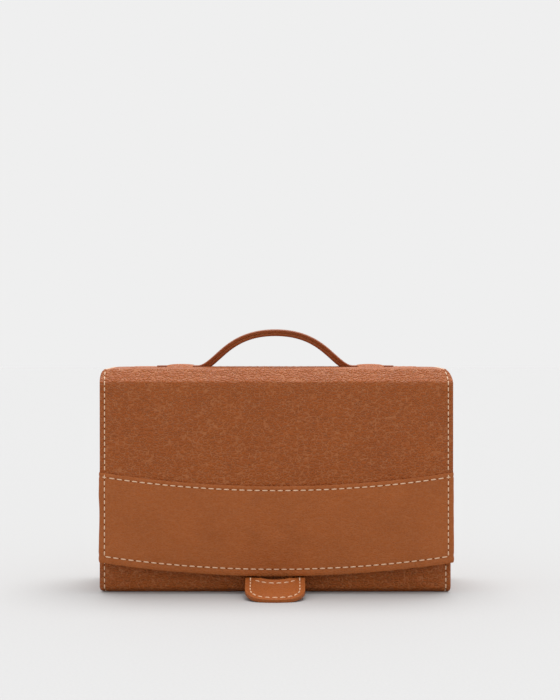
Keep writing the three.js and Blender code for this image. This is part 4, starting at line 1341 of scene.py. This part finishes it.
def elasticSkin(share, up):
    z = elasticLow.z + up * (elasticHigh.z - elasticLow.z)
    depth = (elasticHigh.y - elasticLow.y - 0.9) * pocketDepth(share)
    wave = gatherWave(share, 0.45) + 0.12 * math.sin(2 * math.pi * pocket["gathers"] * 3 * share)
    wave *= (0.55 + 0.45 * math.cos(2 * math.pi * 2 * up)) * pocketDepth(share)
    return pocketLow.x + share * pocketWide, elasticHigh.y - 0.5 - max(depth + wave, 0.6), z


elasticPiece = makeSheet("pocketElastic", pocketShares, lambda share: steps(0, 1, 0.08), elasticSkin,
                         suedeSheet, 1.1, flip=False, rim=0.3)
finishPiece(elasticPiece, body="case_body", stands=("pocket_elastic",))
pocketLines = [[(share, 0.045) for share in steps(0.03, 0.97, 0.05)]]
pocketStitches = stitchRows("pocketStitches", pocketSkin, pocketLines, 1)
finishPiece(pocketStitches, body="case_body")

earring = {"corner": 4.0, "pillow": 0.5, "seam": 3.0, "seed": 90, "rows": 4, "pairs": 9, "pair": 3.2,
           "hole": 1.3}
earringLow, earringHigh = boxMm("earring_panel")
earringSkin, earringHalf = panelSkin(earringLow, earringHigh, earringLow.y, -1, earring)
earringPiece = makeSheet("earringPanel", columnsTo(earringHalf.x, 0.6, 2.6, 6),
                         lambda x: panelAcross(earringHalf.z), earringSkin, suedeSheet, 1.4, flip=False,
                         rim=0.3)
finishPiece(earringPiece, body="case_body", stands=("earring_panel",))
earringStitches = stitchRows("earringStitches", earringSkin,
                             panelBorder(earringHalf, earring["seam"], ("left", "right", "bottom", "top")), 1)
finishPiece(earringStitches, body="case_body")


def makeEyelet():
    deselect()
    bpy.ops.mesh.primitive_torus_add(major_segments=14, minor_segments=6,
                                     major_radius=earring["hole"] / 2 + 0.25, minor_radius=0.28)
    ring = bpy.context.object
    for vertex in ring.data.vertices:
        vertex.co.z *= 0.6
    deselect()
    # a flat dark disc inside each eyelet: painted shade for the hole through the panel
    bpy.ops.mesh.primitive_uv_sphere_add(segments=12, ring_count=6, radius=earring["hole"] / 2 + 0.1)
    eyeletHoleShade = bpy.context.object
    for vertex in eyeletHoleShade.data.vertices:
        vertex.co.z *= 0.12
    shapes = ring.data.copy(), eyeletHoleShade.data.copy()
    bpy.data.objects.remove(ring)
    bpy.data.objects.remove(eyeletHoleShade)
    return shapes


eyelet, eyeletHoleShade = makeEyelet()
eyelets = []
for row in range(earring["rows"]):
    for pair in range(earring["pairs"]):
        for side in (-0.5, 0.5):
            x = -earringHalf.x + 9 + pair * (2 * earringHalf.x - 18) / (earring["pairs"] - 1)
            x += side * earring["pair"]
            across = -0.68 + 1.36 * row / (earring["rows"] - 1)
            place = Vector(earringSkin(x, across)) + Vector((0, -0.02, 0))
            turn = Matrix.Translation(place) @ Matrix.Rotation(math.radians(90), 4, "X")
            eyelets += [(eyelet, 0, turn), (eyeletHoleShade, 1, turn)]
eyeletPiece = gatherCopies("earringEyelets", eyelets, (goldPlate, paintedHoleShade))
finishPiece(eyeletPiece, body="case_body")
print("pocket and earring panel: done")

# ---------- zip pocket on the flap's inner side ----------
panelLook = {"corner": 3.0, "pillow": 0.7, "seam": 3.0, "seed": 95}
panelLow, panelHigh = boxMm("pocket_panel")
pocketPanelSkin, panelHalf = panelSkin(panelLow, panelHigh, panelHigh.y, 1, panelLook)
pocketPanel = makeSheet("zipPocketPanel", columnsTo(panelHalf.x, 0.6, 3.0, 6),
                        lambda x: panelAcross(panelHalf.z),
                        pocketPanelSkin, suedeSheet, 0.9, flip=True, rim=0.25)
finishPiece(pocketPanel, body="flap", stands=("pocket_panel",))
panelStitches = stitchRows("zipPocketStitches", pocketPanelSkin,
                           panelBorder(panelHalf, panelLook["seam"], ("left", "right", "bottom", "top")), -1)
finishPiece(panelStitches, body="flap")
for node, name in (("zip_tape_lower", "zipTapeLower"), ("zip_tape_upper", "zipTapeUpper")):
    finishPiece(roundedCopy(name, node, zipTape, 0.15, 2), body="flap", stands=(node,))
    low, high = boxMm(node)
    tapeZ = low.z + 1.0 if "upper" not in node else high.z - 1.0
    tapeStitches = stitchRows(name + "Stitches", lambda x, z, y=high.y: (x, y, z),
                              [[(x, tapeZ) for x in steps(low.x + 1, high.x - 1, 6)]], -1)
    finishPiece(tapeStitches, body="flap")

tooth = {"pitch": 1.7, "long": 1.9, "wide": 0.72, "thick": 1.5}
chainLow, chainHigh = boxMm("zip_chain")
deselect()
bpy.ops.mesh.primitive_cube_add(size=1, scale=(tooth["wide"], tooth["thick"], tooth["long"]))
toothObject = bpy.context.object
bpy.ops.object.transform_apply(location=True, rotation=True, scale=True)
applyModifier(toothObject, "BEVEL", {"width": 0.2, "segments": 2})
toothShape = toothObject.data.copy()
bpy.data.objects.remove(toothObject)
chainY = (chainLow.y + chainHigh.y) / 2
teeth = []
for k in range(int((chainHigh.x - chainLow.x - 2) / tooth["pitch"])):
    x = chainLow.x + 1 + k * tooth["pitch"]
    teeth.append((toothShape, 0, Matrix.Translation((x, chainY, chainLow.z + tooth["long"] / 2))))
    teeth.append((toothShape, 0, Matrix.Translation((x + tooth["pitch"] / 2, chainY,
                                                     chainHigh.z - tooth["long"] / 2))))
zipChain = gatherCopies("zipChain", teeth, (goldPlate,))
finishPiece(zipChain, body="flap", stands=("zip_chain",))
for node, name, radius in (("zip_slider", "zipSlider", 0.5), ("zip_pull", "zipPull", 0.35)):
    finishPiece(roundedCopy(name, node, goldPlate, radius), body="zip_runner", stands=(node,))
print("zip pocket: done")


# ---------- the floor, the light and the camera ----------
# Matt white seamless paper with a faint tooth.
def makeFloorPaper():
    material, shader = startMaterial("seamlessPaper", {"Roughness": 0.9, "Specular IOR Level": 0.15})
    coordinates = addNode(material, "ShaderNodeTexCoord").outputs["Object"]
    tooth = addNode(material, "ShaderNodeTexNoise", {"Scale": 1 / (1.5 * mm)}, {"Vector": coordinates})
    bump = addNode(material, "ShaderNodeBump", {"Strength": 0.05, "Distance": 0.05 * mm},
                   {"Height": tooth.outputs["Fac"]})
    joinTo(material, shader, "Base Color",
           colourRamp(material, tooth.outputs["Fac"], [(0.3, "#B6B6B6"), (0.7, "#B9B9B9")]))
    joinTo(material, shader, "Normal", bump.outputs["Normal"])
    return material


deselect()
bpy.ops.mesh.primitive_plane_add(size=14)
floor = bpy.context.object
floor.name = floor.data.name = "floor"
floor.data.materials.append(makeFloorPaper())

world = bpy.data.worlds.new("studio")
bpy.context.scene.world = world
world.use_nodes = True
background = world.node_tree.nodes["Background"]
background.inputs["Color"].default_value = linearColour("#EFEFEF")
background.inputs["Strength"].default_value = 1.0


# A very wide soft light from above, slightly to the front.
overhead = bpy.data.lights.new("overheadSoftLight", "SUN")
overhead.energy = 2.9
overhead.angle = math.radians(45)
overheadLamp = bpy.data.objects.new("overheadSoftLight", overhead)
bpy.context.scene.collection.objects.link(overheadLamp)
overheadLamp.location = (0, -0.1, 1.5)
overheadLamp.rotation_euler = (math.radians(-12), math.radians(4), 0)

lens = bpy.data.cameras.new("camera")
camera = bpy.data.objects.new("camera", lens)
bpy.context.scene.collection.objects.link(camera)
lens.lens = 85.7
lens.sensor_width = 36
camera.location = (0.003, -1.0666, 0.16)
camera.rotation_euler = (math.radians(90 - 0.53), 0, 0)
lens.clip_start, lens.clip_end = 0.05, 50
bpy.context.scene.camera = camera
